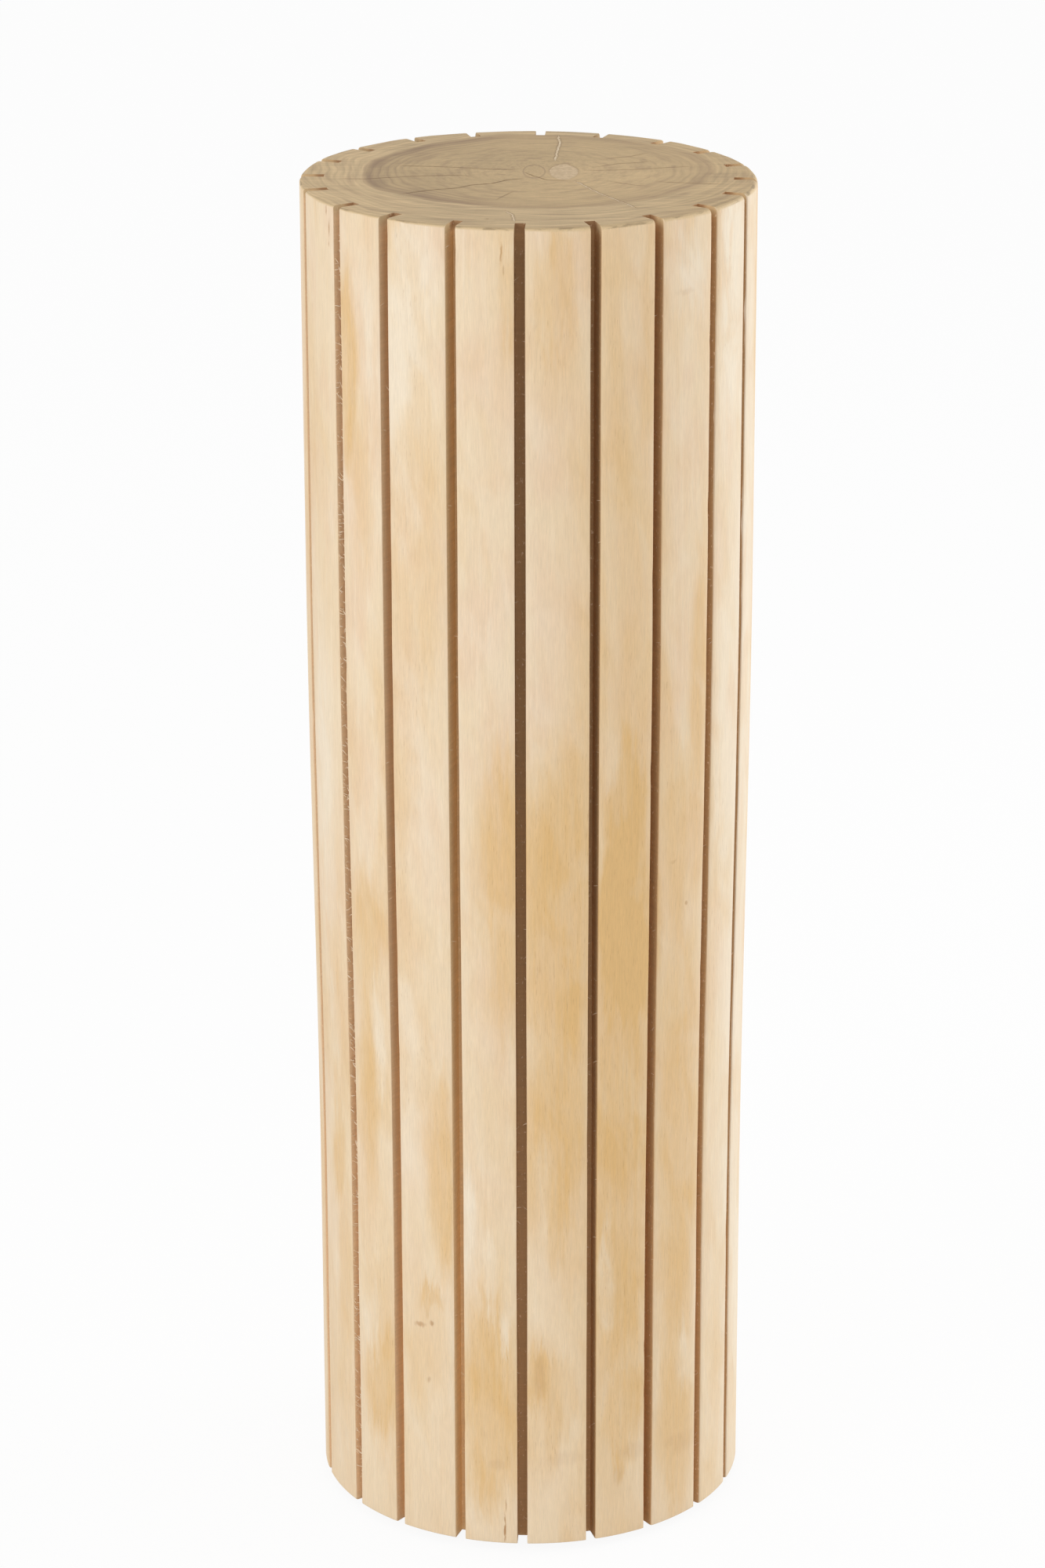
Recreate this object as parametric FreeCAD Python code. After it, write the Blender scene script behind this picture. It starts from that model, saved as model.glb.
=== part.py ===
import FreeCAD, Part
import math
import os

from FreeCAD import Vector

# A free-standing plinth: one turned length of tree trunk with sawn grooves down its sides.
# Checks in its upper end grain are filled, and it stands on four nail-on felt glides.
# Millimetres and degrees. The origin is on the floor at the middle of the base, +Z is up,
# the front faces -Y, and angles round the trunk count from the front towards +X.

# Trunk
TRUNK_LENGTH = 800.0
TOP_DIAMETER = 260.0
FOOT_DIAMETER = 254.0
STRAIGHT_FOOT_LENGTH = 190.0
STRAIGHT_HEAD_LENGTH = 230.0
TOP_RIM_RADIUS = 2.0
FOOT_CHAMFER = 1.0

# Grooves: sawn in pairs, so that narrow and wide slats take turns. Each step of the
# indexing falls a little short, and the last slat takes up what is left over.
GROOVE_PAIRS = 10
GROOVE_WIDTH = 6.0
GROOVE_DEPTH_AT_TOP = 13.6
GROOVE_DEPTH_AT_FOOT = 11.4
PAIR_SPREAD_ANGLE = 17.1
FIRST_PAIR_ANGLE = -46.7
INDEX_SHORTFALL_ANGLE = 0.2

# Filled heart of the trunk, beside the pith
HEART_OFFSET_RIGHT = 20.0
HEART_OFFSET_REAR = 15.0
HEART_LENGTH = 43.0
HEART_WIDTH = 17.0
HEART_END_WIDTH = 9.5
HEART_DEPTH = 30.0

# Filled checks in the upper end grain. A setback is measured inwards from the groove floors, and
# each check narrows to a point over its taper at both ends.
REAR_CHECK_INNER_RADIUS = 45.6
REAR_CHECK_SETBACK = -2.0
REAR_CHECK_ANGLES = (160.4, 164.4, 170.2, 171.4)
REAR_CHECK_WIDTH = 1.6
REAR_CHECK_DEPTH = 14.0
RIGHT_CHECK_LAND = 1.5
RIGHT_CHECK_SETBACK = 14.8
RIGHT_CHECK_ANGLE = 36.9
RIGHT_CHECK_WIDTH = 1.0
RIGHT_CHECK_DEPTH = 10.0
FRONT_CHECK_LENGTH = 32.1
FRONT_CHECK_SETBACK = 1.5
FRONT_CHECK_ANGLES = (-10.1, -5.7, -4.5, -3.9)
FRONT_CHECK_WIDTH = 1.3
FRONT_CHECK_DEPTH = 9.0
CHECK_TAPER = 11.0

# Glides under the foot
GLIDE_NAMES = ("front_right", "rear_right", "rear_left", "front_left")
FIRST_GLIDE_ANGLE = 45.0
GLIDE_LAND = 6.0
CUP_DIAMETER = 24.0
CUP_HEIGHT = 3.5
CUP_WALL = 1.5
CUP_RECESS = 1.5
FELT_THICKNESS = 3.0
FELT_CLEARANCE = 0.1
NAIL_DIAMETER = 2.0
NAIL_LENGTH = 18.0
NAIL_POINT_LENGTH = 3.0
NAIL_HEAD_DIAMETER = 5.5
NAIL_HEAD_THICKNESS = 0.9
NAIL_HEAD_CLEARANCE = 0.1
NAIL_HOLE_CLEARANCE = 0.1

# Worked out from the sizes above
TOP_RADIUS = TOP_DIAMETER / 2
FOOT_RADIUS = FOOT_DIAMETER / 2
TOP_FLOOR_RADIUS = TOP_RADIUS - GROOVE_DEPTH_AT_TOP
FOOT_FLOOR_RADIUS = FOOT_RADIUS - GROOVE_DEPTH_AT_FOOT
STAND_OFF = CUP_HEIGHT + FELT_THICKNESS - CUP_RECESS
TOP_Z = STAND_OFF + TRUNK_LENGTH
CUP_FLOOR_Z = STAND_OFF - CUP_HEIGHT + CUP_RECESS
GLIDE_CIRCLE_RADIUS = FOOT_FLOOR_RADIUS - GLIDE_LAND - CUP_DIAMETER / 2

# Cutters run this far past the faces that they break through
CUTTER_OVERRUN = 5.0


def polar(radius, angle, z=0.0):
    """Point at an angle round the trunk, counted from the front towards +X."""
    turn = math.radians(angle)
    return Vector(radius * math.sin(turn), -radius * math.cos(turn), z)


def revolve(edges):
    """Solid turned about +Z from a closed profile drawn in the XZ plane."""
    face = Part.Face(Part.Wire(edges))
    return face.revolve(Vector(0, 0, 0), Vector(0, 0, 1), 360)


def line(start, end):
    return Part.LineSegment(Vector(start[0], 0, start[1]), Vector(end[0], 0, end[1])).toShape()


def rounded_corner(centre, radius):
    """Quarter circle in the XZ plane, from straight outwards to straight up."""
    slant = radius * math.sqrt(0.5)
    start = Vector(centre[0] + radius, 0, centre[1])
    middle = Vector(centre[0] + slant, 0, centre[1] + slant)
    end = Vector(centre[0], 0, centre[1] + radius)
    return Part.Arc(start, middle, end).toShape()


def groove_angles():
    step = 360.0 / GROOVE_PAIRS - INDEX_SHORTFALL_ANGLE
    angles = []
    for pair in range(GROOVE_PAIRS):
        middle = FIRST_PAIR_ANGLE + pair * step
        angles.append(middle - PAIR_SPREAD_ANGLE / 2)
        angles.append(middle + PAIR_SPREAD_ANGLE / 2)
    return angles


def groove_cutter(angle):
    """Straight bar from the groove's flat floor to outside the trunk, over its whole length."""
    outside = max(TOP_RADIUS, FOOT_RADIUS) + CUTTER_OVERRUN
    slope = (TOP_FLOOR_RADIUS - FOOT_FLOOR_RADIUS) / TRUNK_LENGTH
    low = (FOOT_FLOOR_RADIUS - slope * CUTTER_OVERRUN, STAND_OFF - CUTTER_OVERRUN)
    high = (TOP_FLOOR_RADIUS + slope * CUTTER_OVERRUN, TOP_Z + CUTTER_OVERRUN)
    corners = [low, (outside, low[1]), (outside, high[1]), high, low]
    side = Part.makePolygon([Vector(-GROOVE_WIDTH / 2, -radius, z) for radius, z in corners])
    bar = Part.Face(side).extrude(Vector(GROOVE_WIDTH, 0, 0))
    return bar.rotated(Vector(0, 0, 0), Vector(0, 0, 1), angle)


def turned_trunk():
    """Trunk before grooving: straight head and foot, a slight taper between, a rounded top rim."""
    foot_end = (FOOT_RADIUS, STAND_OFF + STRAIGHT_FOOT_LENGTH)
    head_end = (TOP_RADIUS, TOP_Z - STRAIGHT_HEAD_LENGTH)
    return revolve(
        [
            line((0, STAND_OFF), (FOOT_RADIUS - FOOT_CHAMFER, STAND_OFF)),
            line((FOOT_RADIUS - FOOT_CHAMFER, STAND_OFF), (FOOT_RADIUS, STAND_OFF + FOOT_CHAMFER)),
            line((FOOT_RADIUS, STAND_OFF + FOOT_CHAMFER), foot_end),
            line(foot_end, head_end),
            line(head_end, (TOP_RADIUS, TOP_Z - TOP_RIM_RADIUS)),
            rounded_corner((TOP_RADIUS - TOP_RIM_RADIUS, TOP_Z - TOP_RIM_RADIUS), TOP_RIM_RADIUS),
            line((TOP_RADIUS - TOP_RIM_RADIUS, TOP_Z), (0, TOP_Z)),
            line((0, TOP_Z), (0, STAND_OFF)),
        ]
    )


def heart_filler():
    """Plug of filler with a long rounded outline: two blunt ends and two bowed sides."""
    half_length = HEART_LENGTH / 2
    half_end = HEART_END_WIDTH / 2
    half_width = HEART_WIDTH / 2
    middle = Vector(HEART_OFFSET_RIGHT, HEART_OFFSET_REAR, TOP_Z)
    rear_left = middle + Vector(-half_end, half_length, 0)
    rear_right = middle + Vector(half_end, half_length, 0)
    front_right = middle + Vector(half_end, -half_length, 0)
    front_left = middle + Vector(-half_end, -half_length, 0)
    outline = Part.Wire(
        [
            Part.LineSegment(rear_left, rear_right).toShape(),
            Part.Arc(rear_right, middle + Vector(half_width, 0, 0), front_right).toShape(),
            Part.LineSegment(front_right, front_left).toShape(),
            Part.Arc(front_left, middle - Vector(half_width, 0, 0), rear_left).toShape(),
        ]
    )
    return Part.Face(outline).extrude(Vector(0, 0, -HEART_DEPTH))


def flat_face(*corners):
    return Part.Face(Part.makePolygon(list(corners) + [corners[0]]))


def check_filler(path, width, depth):
    """Filler in a check, shaped like a slim hull: open at the end grain, with its keel below.

    The path has an inner tip, two knees and an outer tip.
    """
    inner, inner_knee, outer_knee, outer = [Vector(point.x, point.y, TOP_Z) for point in path]
    along = (outer_knee - inner_knee).normalize()
    half = Vector(-along.y, along.x, 0) * (width / 2)
    drop = Vector(0, 0, -depth)
    inner_left = inner_knee + half
    inner_right = inner_knee - half
    inner_keel = inner_knee + drop
    outer_left = outer_knee + half
    outer_right = outer_knee - half
    outer_keel = outer_knee + drop
    faces = [
        flat_face(inner, inner_right, outer_right, outer, outer_left, inner_left),
        flat_face(inner_left, outer_left, outer_keel, inner_keel),
        flat_face(inner_right, inner_keel, outer_keel, outer_right),
        flat_face(inner, inner_left, inner_keel),
        flat_face(inner, inner_keel, inner_right),
        flat_face(outer, outer_keel, outer_left),
        flat_face(outer, outer_right, outer_keel),
    ]
    return Part.Solid(Part.makeShell(faces))


def bowed_path(inner_radius, outer_radius, angles):
    radii = (inner_radius, inner_radius + CHECK_TAPER, outer_radius - CHECK_TAPER, outer_radius)
    return [polar(radius, angle) for radius, angle in zip(radii, angles)]


def rear_check_path():
    """Bowed path from behind the filled heart to between two grooves at the rear."""
    return bowed_path(REAR_CHECK_INNER_RADIUS, TOP_FLOOR_RADIUS - REAR_CHECK_SETBACK, REAR_CHECK_ANGLES)


def front_check_path():
    """Short bowed path that ends at the inner corner of the front groove."""
    outer_radius = TOP_FLOOR_RADIUS - FRONT_CHECK_SETBACK
    return bowed_path(outer_radius - FRONT_CHECK_LENGTH, outer_radius, FRONT_CHECK_ANGLES)


def right_check_path():
    """Straight path from a corner of the filled heart towards the front right of the rim."""
    corner = Vector(HEART_OFFSET_RIGHT + HEART_END_WIDTH / 2, HEART_OFFSET_REAR - HEART_LENGTH / 2, 0)
    outer = polar(TOP_FLOOR_RADIUS - RIGHT_CHECK_SETBACK, RIGHT_CHECK_ANGLE)
    along = (outer - corner).normalize()
    inner = corner + along * RIGHT_CHECK_LAND
    return [inner, inner + along * CHECK_TAPER, outer - along * CHECK_TAPER, outer]


def glide_cup():
    """Moulded cup, open below for the felt, with a sunk seat for the nail's head."""
    radius = CUP_DIAMETER / 2
    bottom = STAND_OFF - CUP_HEIGHT
    hole = NAIL_DIAMETER / 2 + NAIL_HOLE_CLEARANCE
    seat = NAIL_HEAD_DIAMETER / 2 + NAIL_HEAD_CLEARANCE
    seat_z = CUP_FLOOR_Z + NAIL_HEAD_THICKNESS
    mouth = radius - CUP_WALL
    return revolve(
        [
            line((hole, STAND_OFF), (hole, seat_z)),
            line((hole, seat_z), (seat, seat_z)),
            line((seat, seat_z), (seat, CUP_FLOOR_Z)),
            line((seat, CUP_FLOOR_Z), (mouth, CUP_FLOOR_Z)),
            line((mouth, CUP_FLOOR_Z), (mouth, bottom)),
            line((mouth, bottom), (radius, bottom)),
            line((radius, bottom), (radius, STAND_OFF)),
            line((radius, STAND_OFF), (hole, STAND_OFF)),
        ]
    )


def glide_felt():
    """Felt disc that is glued into the cup and stands on the floor."""
    radius = CUP_DIAMETER / 2 - CUP_WALL - FELT_CLEARANCE
    return revolve(
        [
            line((0, 0), (radius, 0)),
            line((radius, 0), (radius, FELT_THICKNESS)),
            line((radius, FELT_THICKNESS), (0, FELT_THICKNESS)),
            line((0, FELT_THICKNESS), (0, 0)),
        ]
    )


def glide_nail():
    """Flat-headed nail with a diamond point, driven up through the cup into the trunk's foot."""
    shank = NAIL_DIAMETER / 2
    head = NAIL_HEAD_DIAMETER / 2
    neck_z = CUP_FLOOR_Z + NAIL_HEAD_THICKNESS
    tip_z = CUP_FLOOR_Z + NAIL_LENGTH
    shoulder_z = tip_z - NAIL_POINT_LENGTH
    body = revolve(
        [
            line((0, CUP_FLOOR_Z), (head, CUP_FLOOR_Z)),
            line((head, CUP_FLOOR_Z), (head, neck_z)),
            line((head, neck_z), (shank, neck_z)),
            line((shank, neck_z), (shank, shoulder_z)),
            line((shank, shoulder_z), (0, shoulder_z)),
            line((0, shoulder_z), (0, CUP_FLOOR_Z)),
        ]
    )
    corners = [polar(shank, quarter, shoulder_z) for quarter in (0, 90, 180, 270, 360)]
    tip = Part.Vertex(Vector(0, 0, tip_z))
    return body.fuse(Part.makeLoft([Part.makePolygon(corners), tip], True, True))


def glide_places():
    step = 360.0 / len(GLIDE_NAMES)
    angles = [FIRST_GLIDE_ANGLE + step * place for place in range(len(GLIDE_NAMES))]
    return [polar(GLIDE_CIRCLE_RADIUS, angle) for angle in angles]


def grooved_trunk(fillers, nails):
    """Trunk with its grooves, and with room for its fillers and driven nails."""
    grooves = [groove_cutter(angle) for angle in groove_angles()]
    return turned_trunk().cut(grooves).cut(fillers + nails)


def main():
    os.makedirs("parts", exist_ok=True)
    fillers = {
        "heart_filler": heart_filler(),
        "rear_check_filler": check_filler(rear_check_path(), REAR_CHECK_WIDTH, REAR_CHECK_DEPTH),
        "right_check_filler": check_filler(right_check_path(), RIGHT_CHECK_WIDTH, RIGHT_CHECK_DEPTH),
        "front_check_filler": check_filler(front_check_path(), FRONT_CHECK_WIDTH, FRONT_CHECK_DEPTH),
    }
    places = glide_places()
    nails = [glide_nail().translated(place) for place in places]
    nodes = {"grooved_trunk": grooved_trunk(list(fillers.values()), nails)}
    nodes.update(fillers)
    for name, place in zip(GLIDE_NAMES, places):
        nodes["glide_cup_" + name] = glide_cup().translated(place)
        nodes["glide_felt_" + name] = glide_felt().translated(place)
    nodes["glide_nails"] = Part.makeCompound(nails)
    for name, shape in nodes.items():
        shape.exportStep(os.path.join("parts", name + ".step"))


main()
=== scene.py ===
import math

import bpy
import numpy as np
from mathutils import Matrix, Vector
from mathutils.geometry import delaunay_2d_cdt


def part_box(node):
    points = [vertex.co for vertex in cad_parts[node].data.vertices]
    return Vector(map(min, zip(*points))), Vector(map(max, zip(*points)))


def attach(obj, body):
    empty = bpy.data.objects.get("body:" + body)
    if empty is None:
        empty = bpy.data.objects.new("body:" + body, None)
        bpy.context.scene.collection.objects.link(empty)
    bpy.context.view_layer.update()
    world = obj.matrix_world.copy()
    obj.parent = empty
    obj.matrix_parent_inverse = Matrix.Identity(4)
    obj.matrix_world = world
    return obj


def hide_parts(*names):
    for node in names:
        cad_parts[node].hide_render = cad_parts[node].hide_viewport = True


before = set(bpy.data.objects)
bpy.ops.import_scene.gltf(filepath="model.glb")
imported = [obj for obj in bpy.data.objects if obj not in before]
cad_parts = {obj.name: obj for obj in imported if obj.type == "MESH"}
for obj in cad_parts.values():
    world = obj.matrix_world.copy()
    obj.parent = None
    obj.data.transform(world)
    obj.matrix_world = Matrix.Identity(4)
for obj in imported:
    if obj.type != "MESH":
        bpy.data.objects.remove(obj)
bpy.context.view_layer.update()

# Sizes are in millimetres and angles in degrees, unless a name says otherwise. Angles round the
# trunk count from the front, which faces -Y, towards +X. Meshes are scaled to metres when made.
MM = 0.001

# Trunk
trunk_low, trunk_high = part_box("grooved_trunk")
FOOT_Z = trunk_low.z / MM
TOP_Z = trunk_high.z / MM
SANDED_OFF = 0.08
TOP_RADIUS = 130.0 - SANDED_OFF
FOOT_RADIUS = 127.0 - SANDED_OFF
SWELL_START_Z = FOOT_Z + 190.0
SWELL_END_Z = TOP_Z - 230.0
GROOVE_PAIRS = 10
GROOVE_WIDTH = 6.0
TOP_FLOOR_RADIUS = 116.4
FOOT_FLOOR_RADIUS = 115.6
PAIR_SPREAD_ANGLE = 17.1
FIRST_PAIR_ANGLE = -46.7
INDEX_SHORTFALL_ANGLE = 0.2

# Edges of the slats
LEFT_ARRIS_RADIUS = 0.4
RIGHT_ARRIS_RADIUS = 0.85
ARRIS_UNEVENNESS = 0.22
CHIP_COUNT = 90
CHIP_DEPTH = 0.7
CHIP_DEPTH_SHARES = (0.3, 1.0)
CHIP_LENGTH = 5.0
CHIP_LENGTH_SHARES = (0.5, 1.5)
ARRIS_WANDER_STEP = 37.0
SAW_WANDER = 0.1
SAW_WANDER_STEP = 90.0
RIM_RADIUS_LEFT = 1.4
RIM_RADIUS_RIGHT = 3.2
RIM_UNEVENNESS = 0.5
RIM_BROAD_WAVES = 3
RIM_SHORT_WAVES = 7
RIM_WAVE_START_RADIANS = 1.0
RIM_WANDER_SHARE = 0.6
RIM_WANDER_STEP = 7.0
FOOT_RIM_RADIUS = 1.0
GROOVE_END_ROWS_HEIGHT = 0.3

# Fineness of the trunk's mesh, with the first and last even rows' distance from its ends
ROW_STEP = 4.1
FIRST_ROW_HEIGHT = 4.0
LAST_ROW_DROP = 6.0
RIM_STEPS = 5
FACE_STEPS = 9
TOP_POINT_STEP = 5.0
FOOT_POINT_STEP = 12.5
POINT_JITTER_SHARE = 0.3
RIM_CLEARANCE_SHARE = 0.5
SHARP_ANGLE = 38.0

# Triangles of the ends: Blender's kind that stays inside the outline, and the distance at which points merge
INSIDE_OUTLINE = 1
MERGE_DISTANCE = 1e-4

# Kinds of the trunk's surface, in the order of its materials
SIDE = 0
END_GRAIN = 1
GROOVE = 2

# Map for baking: its margin, the height of the sides in it, and the radius and middles of the two ends
BAKE_MARGIN = 0.005
BAKE_SIDES_HEIGHT = 0.56
BAKE_END_RADIUS = 0.2
BAKE_TOP_MIDDLE = (0.25, 0.79)
BAKE_FOOT_MIDDLE = (0.75, 0.79)

# Starts of the random draws
SAW_SEED = 400
ARRIS_SEED = 600
RIM_SEED = 9
CHECK_SEED = 20
FILLED_CHECK_SEED = 50
TOP_SEED = 3
FOOT_SEED = 4
FILLER_SEED = 70
FELT_SEED = 80
FIBRE_SEED = 11

# Growth rings: the pith's place in the end grain, and the edge of the heartwood
PITH_X = 5.7
PITH_Y = 17.7
PITH_OVAL_X = 3.2
PITH_OVAL_Y = 15.7
PITH_OVAL_HALF_WIDTH = 6.3
PITH_OVAL_HALF_LENGTH = 17.6
HEARTWOOD_RADIUS = 98.0
RING_WIDTH = 6.4
END_RING_WIDTH = 4.3
RING_BEND = 26.0
GRAIN_SLANT = 0.2

# Soft spots in the upper end grain, beside and behind the heart: place in plan and radius
PALE_SPOT = (43.0, -3.0, 56.0)
DARK_SPOT = (2.0, 46.0, 48.0)

# Open checks in the upper end grain: points in plan, half width and depth
OPEN_CHECKS = (
    (((-5.0, 20.0), (-24.0, 22.7), (-42.0, 27.5), (-57.0, 30.2), (-76.0, 32.5)), 0.36, 2.1),
    (((-30.0, 3.8), (-45.0, 6.4), (-62.0, 4.4), (-80.0, 0.4), (-93.0, -3.4), (-108.0, -1.6)), 0.33, 1.9),
    (
        (
            (-1.5, -2.6),
            (-13.5, -7.4),
            (-20.0, -15.6),
            (-33.0, -20.0),
            (-40.0, -27.6),
            (-52.0, -31.0),
            (-74.0, -44.0),
        ),
        0.45,
        2.4,
    ),
    (((-7.0, -33.0), (-13.0, -46.0), (-19.0, -60.0)), 0.12, 0.7),
    (((30.5, 18.8), (41.0, 18.3), (61.0, 20.8), (85.0, 26.8), (95.0, 28.8)), 0.26, 1.4),
    (((43.0, -8.3), (57.0, -19.5), (70.0, -24.7)), 0.20, 1.1),
    (((70.0, -11.6), (91.0, -15.8), (110.0, -19.0)), 0.29, 1.4),
    (((35.0, 25.4), (52.0, 36.5), (63.0, 38.8), (72.0, 43.8)), 0.23, 1.1),
    (((40.0, 46.5), (60.0, 57.0), (71.0, 67.4)), 0.20, 1.0),
    (((-2.8, 15.0), (2.4, 4.8), (7.6, -3.4), (10.8, -7.6), (21.6, -8.2), (25.4, -10.0)), 0.33, 1.6),
    (((-24.2, -105.4), (-22.8, -105.6), (-21.4, -105.3)), 0.55, 1.2),
)
CHECK_POINT_STEP = 3.0
CHECK_LEAST_STEPS = 4
CHECK_WOBBLE = 0.3
CHECK_LEAST_HALF_WIDTH = 1e-6
# Reach of the painted shade beside each check, standing in for the shade inside it, and how far loose points
# keep clear of it as a share of that reach
CHECK_SHADE_REACH = 1.1
CHECK_SHADE_CLEARANCE_SHARE = 1.2

# Steps of a check's path over which its outline, and its depth and painted shade, fade out at an end
OUTLINE_TAPER_STEPS = 2
DEPTH_TAPER_STEPS = 3

# Fillers: the heart's outline, and the paths of the filled checks with their half widths
HEART_MIDDLE = (20.0, 15.0)
HEART_HALF_LENGTH = 21.5
HEART_HALF_WIDTH = 8.5
HEART_END_HALF_WIDTH = 4.75
HEART_BLUNTNESS = 2.7
HEART_OUTLINE_STEPS = 56
HEART_FIT = 0.985
HEART_BROAD_WAVES = 5
HEART_BROAD_WAVE_SHARE = 0.02
HEART_BROAD_WAVE_START_RADIANS = 0.7
HEART_SHORT_WAVES = 11
HEART_SHORT_WAVE_SHARE = 0.015
FILLED_CHECKS = {
    "rear_check_filler": (
        ((15.2, 43.4), (16.2, 60.0), (17.4, 80.0), (18.7, 98.0), (17.6, 106.0), (18.0, 116.6)),
        0.75,
    ),
    "right_check_filler": (((26.0, -8.6), (36.9, -35.8), (48.0, -57.4), (60.4, -80.6)), 0.58),
    "front_check_filler": (
        ((-14.4, -82.0), (-11.0, -90.6), (-9.2, -94.0), (-8.6, -103.0), (-7.9, -114.0)),
        0.6,
    ),
}
POCKET_DEPTH = 3.0
FILLER_GAP = 0.1
FILLER_SINK = 0.06
FILLER_UNEVENNESS = 0.08
FILLER_POINT_STEP = 2.5

# Nail holes in the foot
NAIL_CIRCLE_RADIUS = 97.6
NAIL_HOLE_RADIUS = 1.0
NAIL_HOLE_DEPTH = 16.0
NAIL_HOLE_CORNERS = 16
NAIL_ANGLES = (45.0, 135.0, 225.0, 315.0)


# Materials


class Value:
    """A socket of a material's nodes that takes part in ordinary arithmetic."""

    def __init__(self, finish, socket):
        self.finish = finish
        self.socket = socket

    def __add__(self, other):
        return self.finish.math("ADD", self, other)

    def __radd__(self, other):
        return self.finish.math("ADD", other, self)

    def __sub__(self, other):
        return self.finish.math("SUBTRACT", self, other)

    def __rsub__(self, other):
        return self.finish.math("SUBTRACT", other, self)

    def __mul__(self, other):
        return self.finish.math("MULTIPLY", self, other)

    def __rmul__(self, other):
        return self.finish.math("MULTIPLY", other, self)

    def __truediv__(self, other):
        return self.finish.math("DIVIDE", self, other)

    def __pow__(self, other):
        return self.finish.math("POWER", self, other)

    def output(self, name):
        """Another output of the same node."""
        return Value(self.finish, self.socket.node.outputs[name])


class Finish:
    """The nodes of one material, or of the world, while they are put together."""

    def __init__(self, owner):
        owner.use_nodes = True
        self.owner = owner
        self.nodes = owner.node_tree.nodes
        self.links = owner.node_tree.links
        self.nodes.clear()

    def node(self, kind, settings, inputs, output=0):
        """Adds a node: its settings first, then the values or links of its sockets."""
        node = self.nodes.new(kind)
        for name, setting in settings.items():
            if name == "stops":
                set_stops(node.color_ramp, setting)
            else:
                setattr(node, name, setting)
        for name, value in inputs.items():
            if isinstance(value, Value):
                self.links.new(value.socket, node.inputs[name])
            else:
                node.inputs[name].default_value = value
        return Value(self, node.outputs[output]) if node.outputs else None

    def math(self, operation, first, second=0.0):
        """Math node on values and numbers."""
        return self.node("ShaderNodeMath", {"operation": operation}, {0: first, 1: second})

    def mix(self, amount, first, second):
        """First colour, which turns into the second as the amount goes from 0 to 1."""
        settings = {"data_type": "RGBA", "clamp_factor": True}
        return self.node("ShaderNodeMix", settings, {0: amount, 6: first, 7: second}, 2)

    def tint(self, colour_value, strength):
        """Colour made lighter or darker by a factor."""
        return self.node("ShaderNodeVectorMath", {"operation": "SCALE"}, {0: colour_value, 3: strength})

    def stretched(self, place, across, along):
        """Place measured in grains of a width across and a length along the trunk."""
        factors = (1 / across, 1 / across, 1 / along)
        return self.node("ShaderNodeVectorMath", {"operation": "MULTIPLY"}, {0: place, 1: factors})

    def split(self, place):
        """Parts of a place along X, Y and Z."""
        x = self.node("ShaderNodeSeparateXYZ", {}, {0: place}, "X")
        return x, x.output("Y"), x.output("Z")

    def noise(self, place, detail=2.0, roughness=0.5, swirl=0.0):
        """Noise with grains of about one unit of the place."""
        inputs = {"Scale": 1.0, "Detail": detail, "Roughness": roughness, "Distortion": swirl}
        return self.node("ShaderNodeTexNoise", {}, {"Vector": place, **inputs})

    def step(self, value, low, high, least=0.0, most=1.0):
        """Smooth step from least at low to most at high."""
        inputs = {0: value, 1: low, 2: high, 3: least, 4: most}
        return self.node("ShaderNodeMapRange", {"interpolation_type": "SMOOTHSTEP"}, inputs)

    def ramp(self, value, stops):
        """Grey level between the stops of a ramp."""
        return self.node("ShaderNodeValToRGB", {"stops": stops}, {0: value})

    def place(self):
        """Place in the part, in millimetres."""
        metres = self.node("ShaderNodeTexCoord", {}, {}, "Object")
        return self.tint(metres, 1 / MM)

    def facing(self):
        """Direction that the surface faces."""
        return self.node("ShaderNodeNewGeometry", {}, {}, "Normal")

    def attribute(self, name):
        """Value that the mesh keeps at each of its points."""
        return self.node("ShaderNodeAttribute", {"attribute_name": name}, {}, "Fac")

    def bump(self, height, depth):
        """Normal of a fine relief, as deep as given at a height of 1."""
        return self.node("ShaderNodeBump", {}, {"Height": height, "Distance": depth * MM, "Strength": 1.0})

    def seen(self):
        """1 for a ray from the camera, a mirror or glass, and 0 for the light on the object."""
        camera = self.node("ShaderNodeLightPath", {}, {}, "Is Camera Ray")
        mirrored = self.math("MAXIMUM", camera, camera.output("Is Glossy Ray"))
        return self.math("MAXIMUM", mirrored, camera.output("Is Transmission Ray"))

    def surface(self, inputs):
        """Ends the material with its one shader, and gives the material."""
        shader = self.node("ShaderNodeBsdfPrincipled", {}, inputs)
        self.node("ShaderNodeOutputMaterial", {}, {"Surface": shader})
        return self.owner


def set_stops(ramp, stops):
    """Stops of a grey ramp: pairs of a place and a level."""
    while len(ramp.elements) < len(stops):
        ramp.elements.new(1.0)
    for element, (position, level) in zip(ramp.elements, stops):
        element.position = position
        element.color = (level, level, level, 1.0)


def new_finish(name):
    """Nodes of a new material."""
    return Finish(bpy.data.materials.new(name))


def colour(red, green, blue):
    """Linear colour from the 0 to 255 levels of a screen colour."""
    levels = [level / 255 for level in (red, green, blue)]
    linear = [level / 12.92 if level <= 0.04045 else ((level + 0.055) / 1.055) ** 2.4 for level in levels]
    return (*linear, 1.0)


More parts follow.
